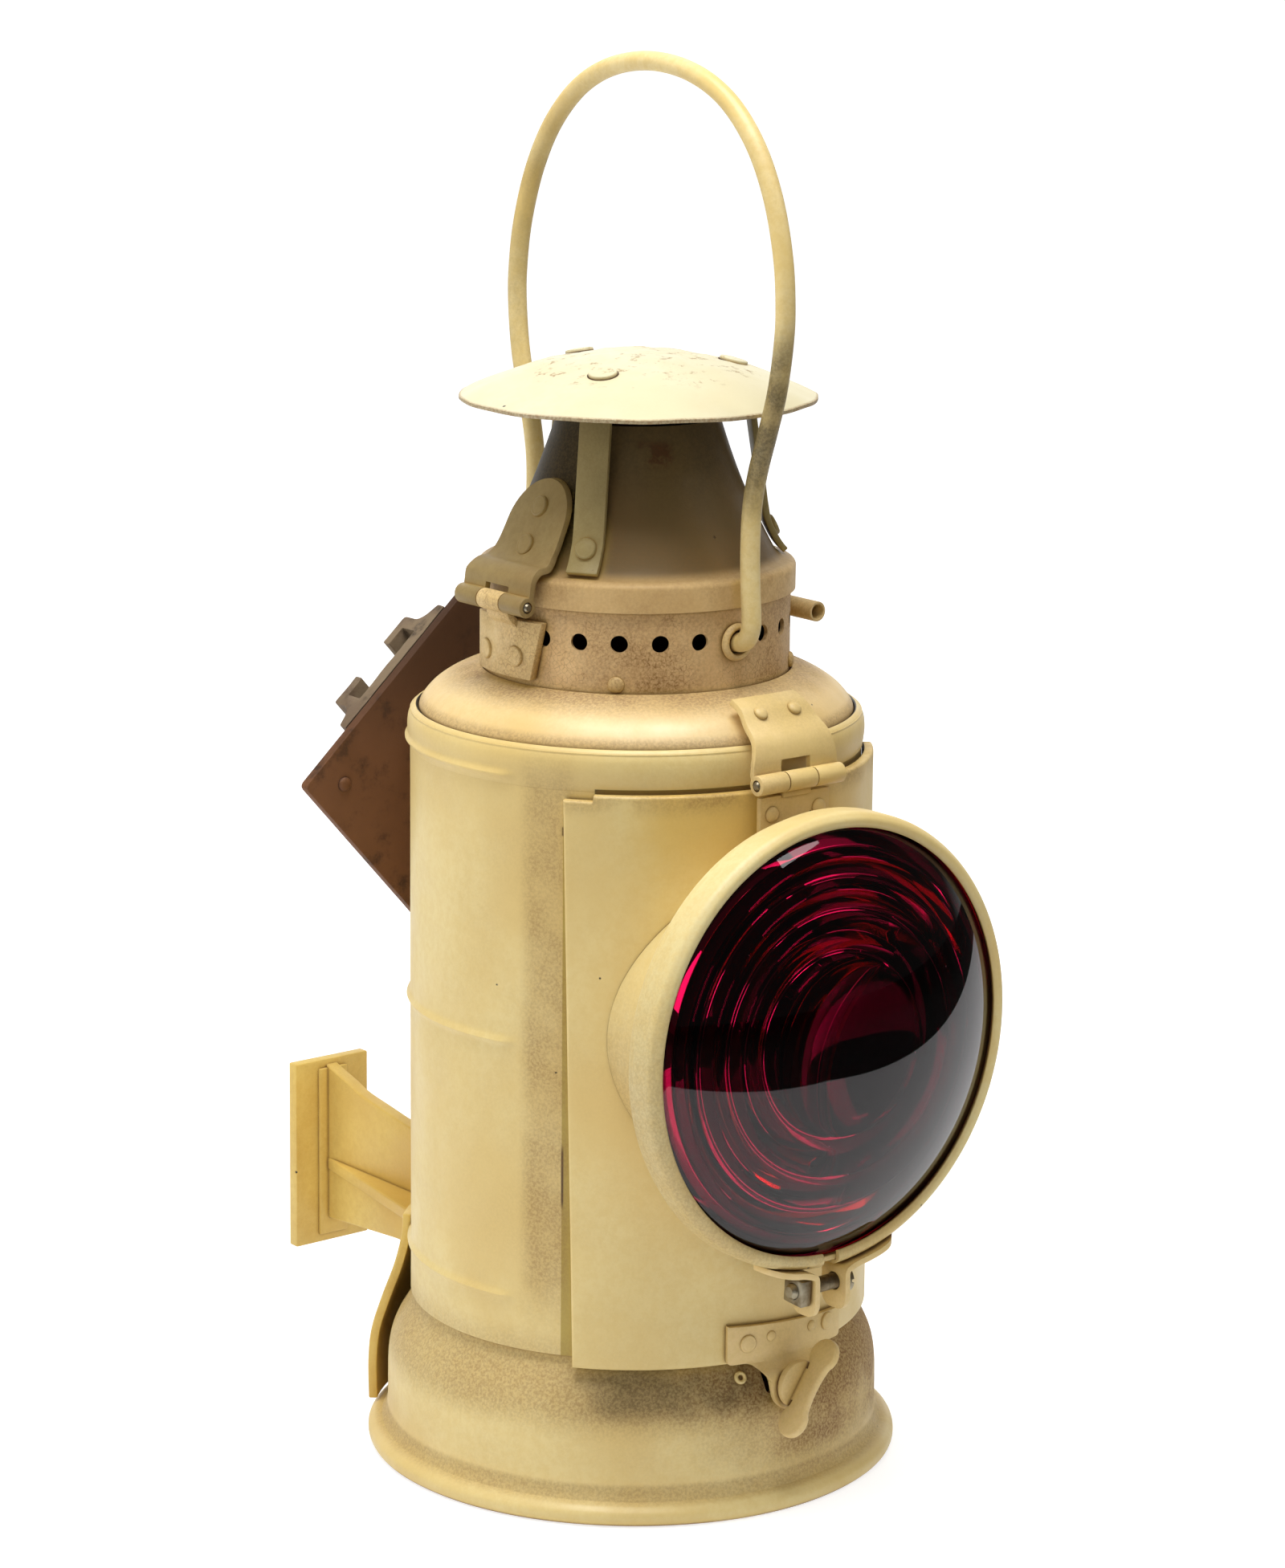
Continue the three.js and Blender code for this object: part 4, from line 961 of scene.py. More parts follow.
def make_door_hinge():
    pin_y, pin_z = DOOR_PIN.y, DOOR_PIN.z
    place = moved(0, pin_y, pin_z)

    def at(points):
        return [(y - pin_y, z - pin_z) for y, z in points]

    top = [
        (-62.5, 258.1), (-67.6, 255.9), (-71.6, 251.9), (-76.4, 248), (-78, 243.6), (-78.2, 238.6),
        (-79, 236.4),
    ]
    outline = strip(flowing(at(top), 5), LEAF)
    upper = slab("door_hinge_upper_leaf_skin", outline, -HINGE_HALF, HINGE_HALF, "yz", 0.35)
    cut(upper, block("tool", (-THIRD, -6, -4.7), (THIRD, 6, 6.6)))
    for vertex in upper.data.vertices:  # narrower towards its top
        vertex.co.x *= 1 - 0.25 * max(0.0, vertex.co.z / MM - 5) / 18
    shift(with_knuckles(upper, *OUTER_SPANS), place)
    finish(upper, "lamp", HINGE_PAINT)
    slope = (0, -0.6, 0.8)
    heads = [rivet("head", 2.3, 1.5, facing((x, -70.0, 254.9), slope)) for x in (-6.8, 6.8)]
    finish(gather("door_hinge_upper_rivets", heads), "lamp", HINGE_PAINT)

    low_line = at([(-78.1, 213), (-78.1, 221), (-78.1, 229.5), (-78.6, 232.6)])
    lower = slab("door_hinge_lower_leaf_skin", strip(low_line, LEAF), -14, 14, "yz", 0.35)
    for side in (-1, 1):
        cut(lower, block("tool", (side * 10 - 4.4, -5, -4.6), (side * 10 + 4.4, 8, 4)))
    weld(lower, block("tool", (-TONGUE, 0.6, -5.2), (TONGUE, 2.6, 0)))
    shift(with_knuckles(lower, MIDDLE_SPAN), place)
    finish(lower, "door", HINGE_PAINT)
    heads = [rivet("head", 2.5, 1.4, facing((x, -79.1, 225), (0, -1, 0))) for x in (-9.5, 9.5)]
    finish(gather("door_hinge_lower_rivets", heads), "door", HINGE_PAINT)
    hinge_pin("door_hinge_pin", place)


def make_lid_hinge():
    place = moved(LID_PIN.x, 0, LID_PIN.z) @ spun(-90)

    def at(points):
        return [(-(r + LID_PIN.x), z - LID_PIN.z) for r, z in points]

    line = [
        (33, 323), (39.6, 309.6), (43.8, 301.2), (47.6, 296.8), (51.4, 296), (54.4, 293.4), (55.2, 289.6),
        (55.6, 287.6),
    ]
    upper = slab("lid_hinge_upper_leaf_skin", strip(flowing(at(line), 5), LEAF), -18, 18, "yz", 0)
    top = 322 - LID_PIN.z
    crown = [(14 * cos(pi * i / 24), top - 14 + 14 * sin(pi * i / 24)) for i in range(25)]
    shape = rounded([(-17, -6, 0), (17, -6, 0), (17, 8, 4), (14.6, 14, 4)], 1, closed=False, steps=5)
    outline = shape + crown + [(-14.6, 14), (-17, 8)]
    ease(trimmed(upper, outline, -40, 40, "xz"), 0.35)
    cut(upper, block("tool", (-THIRD, -7, -4.7), (THIRD, 7, 5)))
    shift(with_knuckles(upper, *OUTER_SPANS), place)
    finish(upper, "lid", LID_LEAF_PAINT)
    slope = Vector((-cos(radians(26)), 0, sin(radians(26))))
    spots = ((37.9, 313.5), (43.6, 301.8))
    heads = [rivet("head", 3.5, 1.1, facing((-r - 0.9, 0.5, z), slope), True) for r, z in spots]
    finish(gather("lid_hinge_upper_rivets", heads), "lid", LID_LEAF_PAINT)

    inner, outer, half, foot, head = DRUM_R + 0.3, DRUM_R + 3.6, 19.3, 261, 279.6
    pad = cylinder_sector(inner, outer, -half, half, foot, head, 16)
    pad.name = "lid_hinge_lower_leaf_skin"
    for vertex in pad.data.vertices:  # one side tapers from 17.2 to 12.3 degrees
        x, y, z = vertex.co / MM
        turn = math.degrees(math.atan2(x, -y))
        if turn > 0:
            turn *= (12.3 + 4.9 * (z - foot) / (head - foot)) / half
            vertex.co = Vector((*outwards(turn, math.hypot(x, y)), z)) * MM
    shift(pad, moved(0, -LID_PIN.x, -LID_PIN.z))
    ease(pad, 0.4)
    tongue = flowing(at([(55.4, 284), (54.6, 280.6), (51.8, 277.8), (51.2, 272)]), 4)
    weld(pad, slab("tool", strip(tongue, 2.2), -TONGUE, TONGUE, "yz", 0.2))
    shift(with_knuckles(pad, MIDDLE_SPAN), place)
    finish(pad, "lamp", DUSTY_PAINT)
    heads = [rivet("head", 3.3, 1.0, on_wall(outer, -90 + turn, 268), True) for turn in (-12, 5.4)]
    finish(gather("lid_hinge_lower_rivets", heads), "lamp", DUSTY_PAINT)
    hinge_pin("lid_hinge_pin", place)


# ---- door ----

DOOR_HALF = 55.7
DOOR_LEAN = 2.9  # degrees that the door's left edge leans in towards its foot
DOOR_WALL = 1.6
DOOR_LIP = 73.3
NOTCH, NOTCH_ANGLE = 1.9, -48.5  # the door's top edge is lower beyond that angle
NECK_BORE = 52.4


def make_door():
    """The curved sheet with its edges turned in: a grid outside, a grid inside, and rings between."""
    lip_r, rows = 0.9, 90
    spots = [i / 76 for i in range(77)] + [
        (NOTCH_ANGLE + DOOR_HALF + step) / (2 * DOOR_HALF) for step in (-0.12, 0.12)
    ]
    across, up = sorted(spots), [j / rows for j in range(rows + 1)]
    columns = len(across) - 1

    def point(u, v, inset, radius):
        arc_inset = math.degrees(inset / DOOR_R)
        left = -DOOR_HALF + DOOR_LEAN * (1 - v)
        angle = max(left + arc_inset, min(DOOR_HALF - arc_inset, left + (DOOR_HALF - left) * u))
        top = DOOR_HIGH - (NOTCH if -DOOR_HALF + 2 * DOOR_HALF * u < NOTCH_ANGLE else 0)
        z = max(DOOR_LOW + inset, min(top - inset, DOOR_LOW + v * (top - DOOR_LOW)))
        return (*outwards(angle, radius), z)

    nodes = [(u, v) for v in up for u in across]
    border = [nodes[i] for i in grid_rim(0, columns, rows)]
    vertices, faces, loops = [], [], []

    def grid(inset, radius):
        start = len(vertices)
        vertices.extend(point(u, v, inset, radius) for u, v in nodes)
        faces.extend(grid_faces(start, columns, rows))
        loops.append(grid_rim(start, columns, rows))

    grid(lip_r, DOOR_R)
    rings = [
        (lip_r * (1 - sin(pi / 2 * t)), DOOR_R - lip_r * (1 - cos(pi / 2 * t))) for t in (0.25, 0.5, 0.75, 1.0)
    ] + [(0, DOOR_LIP + 0.4), (0.4, DOOR_LIP), (1.0, DOOR_LIP), (1.4, DOOR_LIP + 0.4)]
    for inset, radius in rings:
        loops.append(list(range(len(vertices), len(vertices) + len(border))))
        vertices.extend(point(u, v, inset, radius) for u, v in border)
    grid(1.4, DOOR_R - DOOR_WALL)
    piece = new_piece("door_panel_skin", vertices, faces + stitched(loops))
    cut(piece, drill(NECK_BORE, (0, -95, LENS_Z), (0, -40, LENS_Z), 128))
    waved(piece, 0.2, 55)
    finish(piece, "door", DOOR_PAINT)


LENS_STEPS = (0.86, 0.72, 0.57, 0.39)  # radii of the rings inside, as shares of the lens's
LENS_STEP = 6.4


def make_lens():
    """A domed front; behind, stepped rings round a smooth eye."""
    back, front = -LENS_HIGH.y, -LENS_LOW.y
    radius = LENS_HIGH.x
    rim, rim_front = radius - 1.1, 97.4
    crown = front - rim_front - 0.15
    sphere = (rim * rim + crown * crown) / (2 * crown)
    radii = [rim * i / 40 for i in range(41)]
    dome = [(r, rim_front + crown - sphere + math.sqrt(sphere * sphere - r * r)) for r in radii]
    inside = []
    foot = back + LENS_STEP
    for share, following in zip(LENS_STEPS, (*LENS_STEPS[1:], 0)):
        riser, lower = radius * share, radius * following + 1.2
        inside += [(riser + 1.2, back + 0.1), (riser + 0.7, back), (riser + 0.2, back + 0.3)]
        inside += [(riser, foot - 0.4), (riser - 0.4, foot)]
        slope = (0.25, 0.5, 0.75) if following else ()
        inside += [(riser + (lower - riser) * t, foot + (back + 0.1 - foot) * t ** 1.25) for t in slope]
    eye = [(riser * t, foot + (back + 1 - foot) * (1 - t * t)) for t in (1 - i / 16 for i in range(1, 17))]
    outline = [*dome, (radius, rim_front - 0.4), (radius, back + 0.3), (radius - 0.3, back), *inside, *eye]
    piece = turned("lens_glass", outline, 160, forward=True, at=(0, 0, LENS_Z))
    finish(piece, "door", RUBY, "lens", smooth=30)

    collar_low, collar_high = node_box("lens_collar")
    rim_r, collar_front = collar_high.x, -collar_low.y
    cup = rounded(
        [(NECK_BORE, 40), (54.2, 40), (54.2, 78.5, 2), (rim_r, 85, 2), (rim_r, collar_front),
         (rim_r - 1.7, collar_front), (rim_r - 1.7, 88.6), (61, 88.6), (61, 86.6), (NECK_BORE, 80.4)],
        0.4, steps=4,
    )
    piece = turned("lens_collar_skin", divided(cup, 3), AROUND, forward=True, at=(0, 0, LENS_Z))
    cut(piece, drill(DOOR_R + 0.3, (0, 0, 60), (0, 0, 250), 256))
    finish(piece, "door", BEZEL_PAINT)

    seat = rounded([(61.6, 88.9), (68.3, 88.9), (68.3, 91.9), (61.6, 91.9)], 0.8)
    piece = turned("lens_gasket_skin", seat, 128, forward=True, at=(0, 0, LENS_Z))
    finish(piece, "door", RUBBER)

    bezel_low, bezel_high = node_box("bezel_band")
    outer, front, rear = bezel_high.x, -bezel_low.y, -bezel_high.y
    ring = rounded(
        [(outer - 1.5, rear), (outer, rear), (outer, front - 2, 2.4), (outer - 1.9, front, 1.6),
         (68.6, front - 0.1, 0.8), (67.6, front - 0.9, 0.3), (67.7, front - 1.6, 0.2),
         (outer - 1.5, front - 1.5, 0.5)],
        0.3, steps=6,
    )
    piece = turned("bezel_band_skin", divided(ring, 1.5), 224, forward=True, at=(0, 0, LENS_Z))
    cut(piece, block("tool", (-3, -120, LENS_Z - 80), (3, -80, LENS_Z - 60)))
    finish(piece, "door", BEZEL_PAINT)


def make_clamp():
    _, y, z = middle("clamp_screw")
    inner, half = 72.7, 5.7  # under the band's outside; half of a lug's width
    for name in ("clamp_lug_left", "clamp_lug_right"):
        low, high = node_box(name)
        side = 1 if high.x > 0 else -1
        reach = max(abs(low.x), abs(high.x)) - 0.3
        bar = [(x, LENS_Z - math.sqrt((inner + 1.0) ** 2 - x * x)) for x in (reach, 20, 15, 11)]
        leg = [(6.2, LENS_Z - inner - 1.1), (6.2, LENS_Z - inner - 5), (6.2, low.z + 0.1)]
        line = [*bar, (7.2, leg[0][1] - 0.3), (6.3, leg[0][1] - 1.6), *leg[1:]]
        outline = [(side * u, v) for u, v in strip(flowing(line, 4), 1.9)]
        piece = slab(name + "_skin", outline, y - half, y + half, "xz", 0)
        end = side * reach
        mask = [(0, -half, 0), (end - side * 4, -half, 3), (end, -1.5, 1), (end, half, 1), (0, half, 0)]
        trimmed(piece, [(u, v + y) for u, v in rounded(mask)], low.z - 5, high.z + 5, "xy")
        back, front, head = y - half, y + half, high.z + 5
        foot = [(back, low.z, 5), (front, low.z, 5), (front, head, 0), (back, head, 0)]
        trimmed(piece, rounded(foot, steps=6), -40, 40, "yz")
        cut(piece, drill(2.9, (-20, y, z), (20, y, z), 24))
        finish(ease(piece, 0.3), "door", HINGE_PAINT)

    thread = [(0, -13.2), (1.7, -13.2)]
    turn = -12.8
    while turn < 7.2:
        thread += [(2.05, turn), (2.5, turn + 0.4)]
        turn += 0.8
    head = rounded([(4.3, 7.6), (4.3, 10.1, 1.2)], 0.3, closed=False)
    thread += [(2.3, 7.6), *head, (3.6, 10.2), (0, 10.2)]
    piece = turned("clamp_screw_skin", thread, 32)
    shift(piece, moved(0, y, z) @ spun(90, "Y"))
    cut(piece, block("tool", (9.2, y - 5, z - 0.6), (11, y + 5, z + 0.6)))
    finish(piece, "door", STEEL)
    piece = cut(block("clamp_nut_skin", *node_box("clamp_nut"), 0.5), drill(2.7, (-20, y, z), (0, y, z), 24))
    shift(piece, moved(0, y, z) @ spun(4, "X") @ moved(0, -y, -z))
    finish(piece, "door", STEEL)


LATCH_TILT = 34.0  # degrees that the thumb turn leans at rest
TAB_BACK, TAB_FRONT, TAB_R = 81.0, 82.7, 8.9  # the plate's flat round foot


def sheet(name, outline, thickness, step=1.2):
    """A flat sheet in the x, z plane, from y = 0 to its thickness, divided so that it can be bent."""
    xs, zs = [p[0] for p in outline], [p[1] for p in outline]
    left, right, low, high = min(xs) - 1, max(xs) + 1, min(zs) - 1, max(zs) + 1
    columns, rows = math.ceil((right - left) / step), math.ceil((high - low) / step)
    across = [left + (right - left) * i / columns for i in range(columns + 1)]
    up = [low + (high - low) * j / rows for j in range(rows + 1)]
    vertices = [(x, y, z) for y in (0, thickness) for z in up for x in across]
    layer = len(across) * len(up)
    faces = []
    for face in grid_faces(0, columns, rows):
        faces += [face, [layer + k for k in face[::-1]]]
    rim = grid_rim(0, columns, rows)
    faces += stitched([rim, [layer + k for k in rim]])
    return trimmed(new_piece(name, vertices, faces), outline, -5, thickness + 5, "xz")


def make_latch():
    z = LATCH_PIVOT.z
    back = DOOR_R + 0.3
    arc = [radians(190 + 160 * i / 20) for i in range(21)]
    foot = [(TAB_R * cos(a), z + TAB_R * sin(a)) for a in arc]
    shoulder = [(-14.2, 48.3, 2.5), (-11.2, 45.4, 2), (-9.1, 41.6, 1)]
    left = [(-21.6, 61.5, 0.8), (-21.6, 48.3, 1.6), *shoulder]
    right = [*[(-x, z, r) for x, z, r in shoulder[::-1]], (25.4, 48.3, 1.6), (25.4, 58.2, 0.8)]
    plate = sheet("latch_plate_skin", rounded(left, 1) + foot + rounded(right, 1), 1.75)
    cut(plate, drill(3.4, (0, -10, z), (0, 10, z), 28))
    ease(plate, 0.35)
    for vertex in plate.data.vertices:
        x, w, height = vertex.co / MM
        share = min(1.0, max(0.0, (48.6 - height) / 5.0))
        share = share * share * (3 - 2 * share)
        bent = Vector((*outwards(math.degrees(x / back), back + w), height))
        flat = Vector((x, -TAB_BACK - w, height))
        vertex.co = bent.lerp(flat, share) * MM
    finish(plate, "door", HINGE_PAINT)
    spots = ((-10.9, 54.7, 2.9), (-4.6, 55.8, 1.7), (7.8, 55.4, 1.7), (13.5, 55.0, 2.9))
    heads = [rivet("head", r, 0.9, on_wall(back + 1.65, turn, height), r > 2) for turn, height, r in spots]
    finish(gather("latch_plate_rivets", heads), "door", HINGE_PAINT)

    hub_back = TAB_FRONT + 0.3
    hub = rod("latch_turn_skin", 7.7, (0, -hub_back, 0), (0, -hub_back - 2.6, 0), 56, 0.7)
    reach, lobe = 11.2, 5.5
    blade_y = -hub_back - 6.6
    outline = []
    for end in (1, -1):
        for i in range(15):
            angle = radians((-45 if end > 0 else 135) + 270 * i / 14)
            outline.append((blade_y + lobe * cos(angle), end * reach + lobe * sin(angle)))
        outline += [(blade_y - end * 3.1, end * 2.5), (blade_y - end * 3.1, -end * 2.5)]
    blade = slab("tool", flowing(outline + outline[:1], 2)[:-1], -1.3, 1.3, "yz", 0.8, 3)
    weld(blade, block("tool", (-1.3, blade_y - 1, -5.5), (1.3, -hub_back - 1.5, 5.5), 0.3))
    weld(hub, shift(blade, spun(LATCH_TILT, "Y")))
    shift(hub, moved(0, 0, z))
    finish(hub, "latch", HINGE_PAINT)

    shaft = rod("latch_cam_skin", 2.9, (0, -TAB_FRONT, z), (0, -68.5, z), 28)
    weld(shaft, block("tool", (-6.4, -69.4, z - 2.5), (6.4, -67.1, z + 2.5), 0.4))
    finish(shaft, "latch", STEEL)


# ---- lid ----

CONE = [
    (46.4, 294.2), (44.2, 296.2), (41.6, 300.8), (37.6, 309), (33.8, 317.8), (30, 328), (27.3, 336),
    (26.3, CONE_TOP),
]
CONE_WALL = 1.15
CROWN = 14.0
CAP_WALL = 1.2
CAP_RIVETS_R = 30.5
STRAP_RIVETS_R, STRAP_RIVETS_Z = 44.0, 303


def crown(r):
    """The height of the cap's underside."""
    return CAP_RIM + CROWN * (1 - (r / CAP_R) ** 2)


def make_cone():
    cone = flowing(CONE, 4)
    skirt = rounded(
        [(SKIRT_R, SKIRT_LOW, 0.3), (SKIRT_R, 292.6, 2.2), (48.8, 293.9, 0.8), (46.6, 294, 0.5)],
        0.4, closed=False, steps=5,
    )
    inner = walled(cone, CONE_WALL)[len(cone):]
    inside_r = SKIRT_R - 1.1
    under = rounded(
        [inner[-1], (46, 292.8, 0.5), (49, 292.4, 1.0), (inside_r, 290.6, 0.8), (inside_r, SKIRT_LOW)],
        0.3, closed=False,
    )
    piece = turned("lid_cone_skin", divided([*skirt[:-1], *cone, *inner[:-1], *under], 3.0), 224)
    waved(piece, 0.2, 26)
    finish(piece, "lid", CONE_PAINT)


def make_cap():
    edge = [(CAP_R - 0.9, CAP_RIM), (CAP_R, CAP_RIM, 0.3), (CAP_R, CAP_RIM + 1.1, 0.5)]
    rim = rounded(edge, 0.4, closed=False)
    radii = [CAP_R * (1 - i / 26) for i in range(1, 27)]
    under, over = [(r, crown(r)) for r in radii[-2::-1]], [(r, crown(r) + CAP_WALL) for r in radii]
    outline = [(0, crown(0)), *under, *rim, *over]
    piece = turned("lid_cap_skin", outline, 224)
    waved(piece, 0.15, 30)
    for vertex in piece.data.vertices:
        spread = max(0.0, 1 - math.hypot(vertex.co.x, vertex.co.y) / (42 * MM))
        vertex.co.z += MM * 0.5 * (noise.noise(vertex.co / (18 * MM)) - 0.4)
        vertex.co.z += MM * 0.9 * spread * noise.noise(vertex.co / (5 * MM))
    finish(piece, "lid", CAP_PAINT)

    disc = rounded([(0, 0), (4.6, 0), (4.6, 1.3, 0.6), (0, 1.5)], 0.1, steps=4)
    seat = [(0, -0.8), (5.0, -0.8), (5.0, 0.12), (0, 0.12)]
    slope = 2 * CROWN * CAP_RIVETS_R / CAP_R ** 2
    tilt = radians(25)
    under = crown(29) - 0.3 - 1
    line = [
        (47.4, 295.4), (45.4, 297.8), (43.2, 301.6), (41.2, 307), (38.8, 323.5), (36.4, 340), (35.4, under - 4),
        (33.4, under - 1), (24.6, under),
    ]
    bar = strip([(-r, z) for r, z in flowing(line, 3)], 2.0)
    heads, seats, strap_heads = [], [], []
    for i, turn in enumerate((-60, 60, 180), 1):
        top = (*outwards(turn, CAP_RIVETS_R), crown(CAP_RIVETS_R) + CAP_WALL - 0.3)
        place = facing(top, (*outwards(turn, slope), 1))
        seats.append(shift(turned("seat", seat, 32), place))
        heads.append(shift(turned("head", disc, 40), place))
        strap = slab(f"cap_strap_{i}_skin", bar, -5.2, 5.2, "yz", 0.35)
        finish(shift(strap, spun(turn)), "lid", STRAP_PAINT)
        foot = (*outwards(turn, STRAP_RIVETS_R), STRAP_RIVETS_Z)
        place = facing(foot, (*outwards(turn, cos(tilt)), sin(tilt)))
        strap_heads.append(rivet("head", 3.5, 1.2, place, True))
    finish(gather("cap_rivets", heads), "lid", CAP_PAINT)
    finish(gather("cap_rivet_seats", seats), "lid", RUSTY)
    finish(gather("strap_rivets", strap_heads), "lid", STRAP_PAINT)


# ---- bail ----

BAIL_SIDE = [
    (46, 0), (50.6, 0), (54.6, 1.3), (56.6, 5), (56.6, 10), (55.6, 20), (55, 32), (55.4, 44), (57.6, 55),
    (61.4, 67), (65.2, 80), (67.4, 94), (67.8, 106), (65.8, 122), (60, 140), (50.6, 155.6), (37, 168),
    (20, 175.4),
]
BAIL_CROWN = (0, 178)
BAIL_WIRE = 3.12  # radius
BAIL_LEAN = 1.7  # degrees that the bent wire leans


def make_bail():
    path = flowing(BAIL_SIDE + [BAIL_CROWN] + [(-y, z) for y, z in BAIL_SIDE[::-1]], 8)
    sides = 28
    vertices = []
    for i, (y, z) in enumerate(path):
        dy, dz = unit(*neighbours(path, i))
        for k in range(sides):
            turn = 2 * pi * k / sides
            out = BAIL_WIRE * sin(turn)
            vertices.append((BAIL_WIRE * cos(turn), y - out * dz, z + out * dy))
    rings = [list(range(start, start + sides)) for start in range(0, len(vertices), sides)]
    wire = new_piece("bail_wire", vertices, stitched(rings) + [rings[0], rings[-1]])
    heads = [rod("head", 4.5, (0, side * 44.6, 0), (0, side * 46.2, 0), 28, 0.5) for side in (-1, 1)]
    piece = gather("bail_wire_skin", [wire, *heads])
    shift(piece, moved(z=BAIL_PIVOT.z) @ spun(BAIL_LEAN, "Y"))
    finish(piece, "bail", BAIL_PAINT, node="bail")


# ---- back ----

PLATE_Y, PLATE_Z = 80.0, 209.0
PLATE_TURN = 42.0
PLATE_HALF, PLATE_THICK = 52.4, 3.6
RIVET_AT = 41.5


def make_plate():
    place = moved(0, PLATE_Y, PLATE_Z) @ spun(-PLATE_TURN, "Y")
    half = PLATE_HALF
    edge = rounded([(-half, -half, 1), (half, -half, 1.6), (half, half, 1), (-half, half, 2)], 1)
    plate = slab("mounting_plate_skin", divided(edge, 4), 0, PLATE_THICK, "xz", 0.5)
    finish(shift(plate, place), "lamp", RUSTY)
    corners = [(x, 0, z) for x in (-RIVET_AT, RIVET_AT) for z in (-RIVET_AT, RIVET_AT)]
    heads = [rivet("head", 2.4, 1.6, place @ facing(corner, (0, -1, 0))) for corner in corners]
    finish(gather("plate_rivets", heads), "lamp", RUSTY)

    floor, base, depth, lip = 3.9, 4.5, 7, 3.2
    top = floor + base + depth + lip
    half_out, half_in, mouth, foot = 19.5, 15, 7.5, 27
    right = [
        (foot, floor, 0.4), (foot, floor + base - 1, 0.8), (half_out + 2.5, floor + base + 0.6, 2),
        (half_out, floor + base + 3, 2), (half_out, top, 1.4), (mouth, top, 0.6), (mouth, top - lip, 0.5),
        (half_in, top - lip, 0.5), (half_in, floor + base, 0.8),
    ]
    outline = right + [(-p[0], *p[1:]) for p in right[::-1]]
    socket = slab("slide_socket_skin", divided(rounded(outline, 0.5), 4), -9.5, 52.5, "xy", 0.5)
    for vertex in socket.data.vertices:
        vertex.co += noise.noise_vector(vertex.co / (9 * MM)) * 0.25 * MM
    finish(shift(socket, place), "lamp", CAST)

    standoff = block("plate_standoff_skin", *node_box("plate_standoff"), 0.8)
    finish(cut(standoff, drill(BODY_R + 0.4, (0, 0, 180), (0, 0, 232), 256)), "lamp", PAINT)


FOOT_LINE = [(87.6, 6.8), (87.8, 20), (86.7, 31), (83.2, 42.4), (79, 54), (76.6, 64), (76.2, 71)]


def make_bracket():
    line = flowing(FOOT_LINE, 5)
    foot = turned("bracket_foot_skin", divided(walled(line, 2.9), 3), 256)
    sector = [(0, 0)] + [outwards(180 + turn, 150) for turn in range(-46, 47, 4)]
    finish(ease(trimmed(foot, sector, -10, 100, "xy"), 0.5), "lamp", BRACKET_PAINT)

    low, high = node_box("rear_bracket")
    back, face = high.y, high.y - 4.5
    flange = block("rear_bracket_skin", (-15.5, face, low.z), (15.5, back, high.z), 0.6)
    ridge = block("tool", (-6, face - 1.2, low.z + 3), (6, face + 1, high.z - 3), 0.5)
    top = flowing([(face + 1, 85.4), (160, 81.6), (150, 78.6), (125, 74.6), (100, 71.6), (60, 69)], 5)
    web = slab("tool", [(60, 33), (130, 31.4), (face + 1, 28.2), *top], -2.5, 2.5, "yz", 0.7, 3)
    rib = slab("tool", [(-2.4, face + 1), (-24, 60), (24, 60), (2.4, face + 1)], 46.6, 51, "xy", 0.7, 3)
    clear = [(r + 0.3, z) for r, z in line]
    room = turned("tool", [(0, 0), (clear[0][0], 0), *clear, (73.1, 72), (0, 72)], 256)
    weld(flange, ridge, web, rib)
    cut(flange, room)
    for vertex in flange.data.vertices:
        vertex.co += noise.noise_vector(vertex.co / (14 * MM)) * 0.2 * MM
        vertex.co.y = min(vertex.co.y, back * MM)
    finish(flange, "lamp", BRACKET_PAINT)


# ---- burner ----

FILLER_Y = 33


def metal_turned(name, outline, segments, metal, at=(0, 0, 0)):
    return finish(turned(name + "_skin", outline, segments, at=at), "lamp", metal)


def make_fount():
    ring = rounded([(45, 1.9), (51, 1.9), (51, 3), (46.5, 3, 0.8), (46.5, 10), (45, 10)], 0.3)
    metal_turned("fount_ring", ring, 96, TINPLATE)

    outer = [(43, 1.9, 1), (44, 2.9, 1), (44, 70, 4), (39, 77, 4), (23, 82, 2), (17, 82, 0.3)]
    inner = [(17, 80.8), (22, 80.8), (38, 76), (42.8, 69.6), (42.8, 4.3), (41.4, 3.1), (0, 3.1)]
    outline = [(0, 1.9), *rounded(outer, 1, closed=False, steps=5), *inner]
    tank = turned("fount_skin", divided(outline, 5, closed=False), 96)
    cut(tank, drill(6, (0, FILLER_Y, 60), (0, FILLER_Y, 95), 32))
    finish(tank, "lamp", TINPLATE)

    cap = [(0, 73), (5.6, 73), (5.6, 82.3), *rounded([(8.4, 82.3), (8.4, 87), (7.2, 88.1)], 0.4), (0, 88.1)]
    piece = turned("filler_cap_skin", cap, 48, at=(0, FILLER_Y, 0))
    for x, y in round_about(20, 8.6):
        cut(piece, drill(0.5, (x, y + FILLER_Y, 83), (x, y + FILLER_Y, 89), 8))
    finish(piece, "lamp", BRASS)


def round_about(count, radius):
    return [(radius * cos(2 * pi * i / count), radius * sin(2 * pi * i / count)) for i in range(count)]


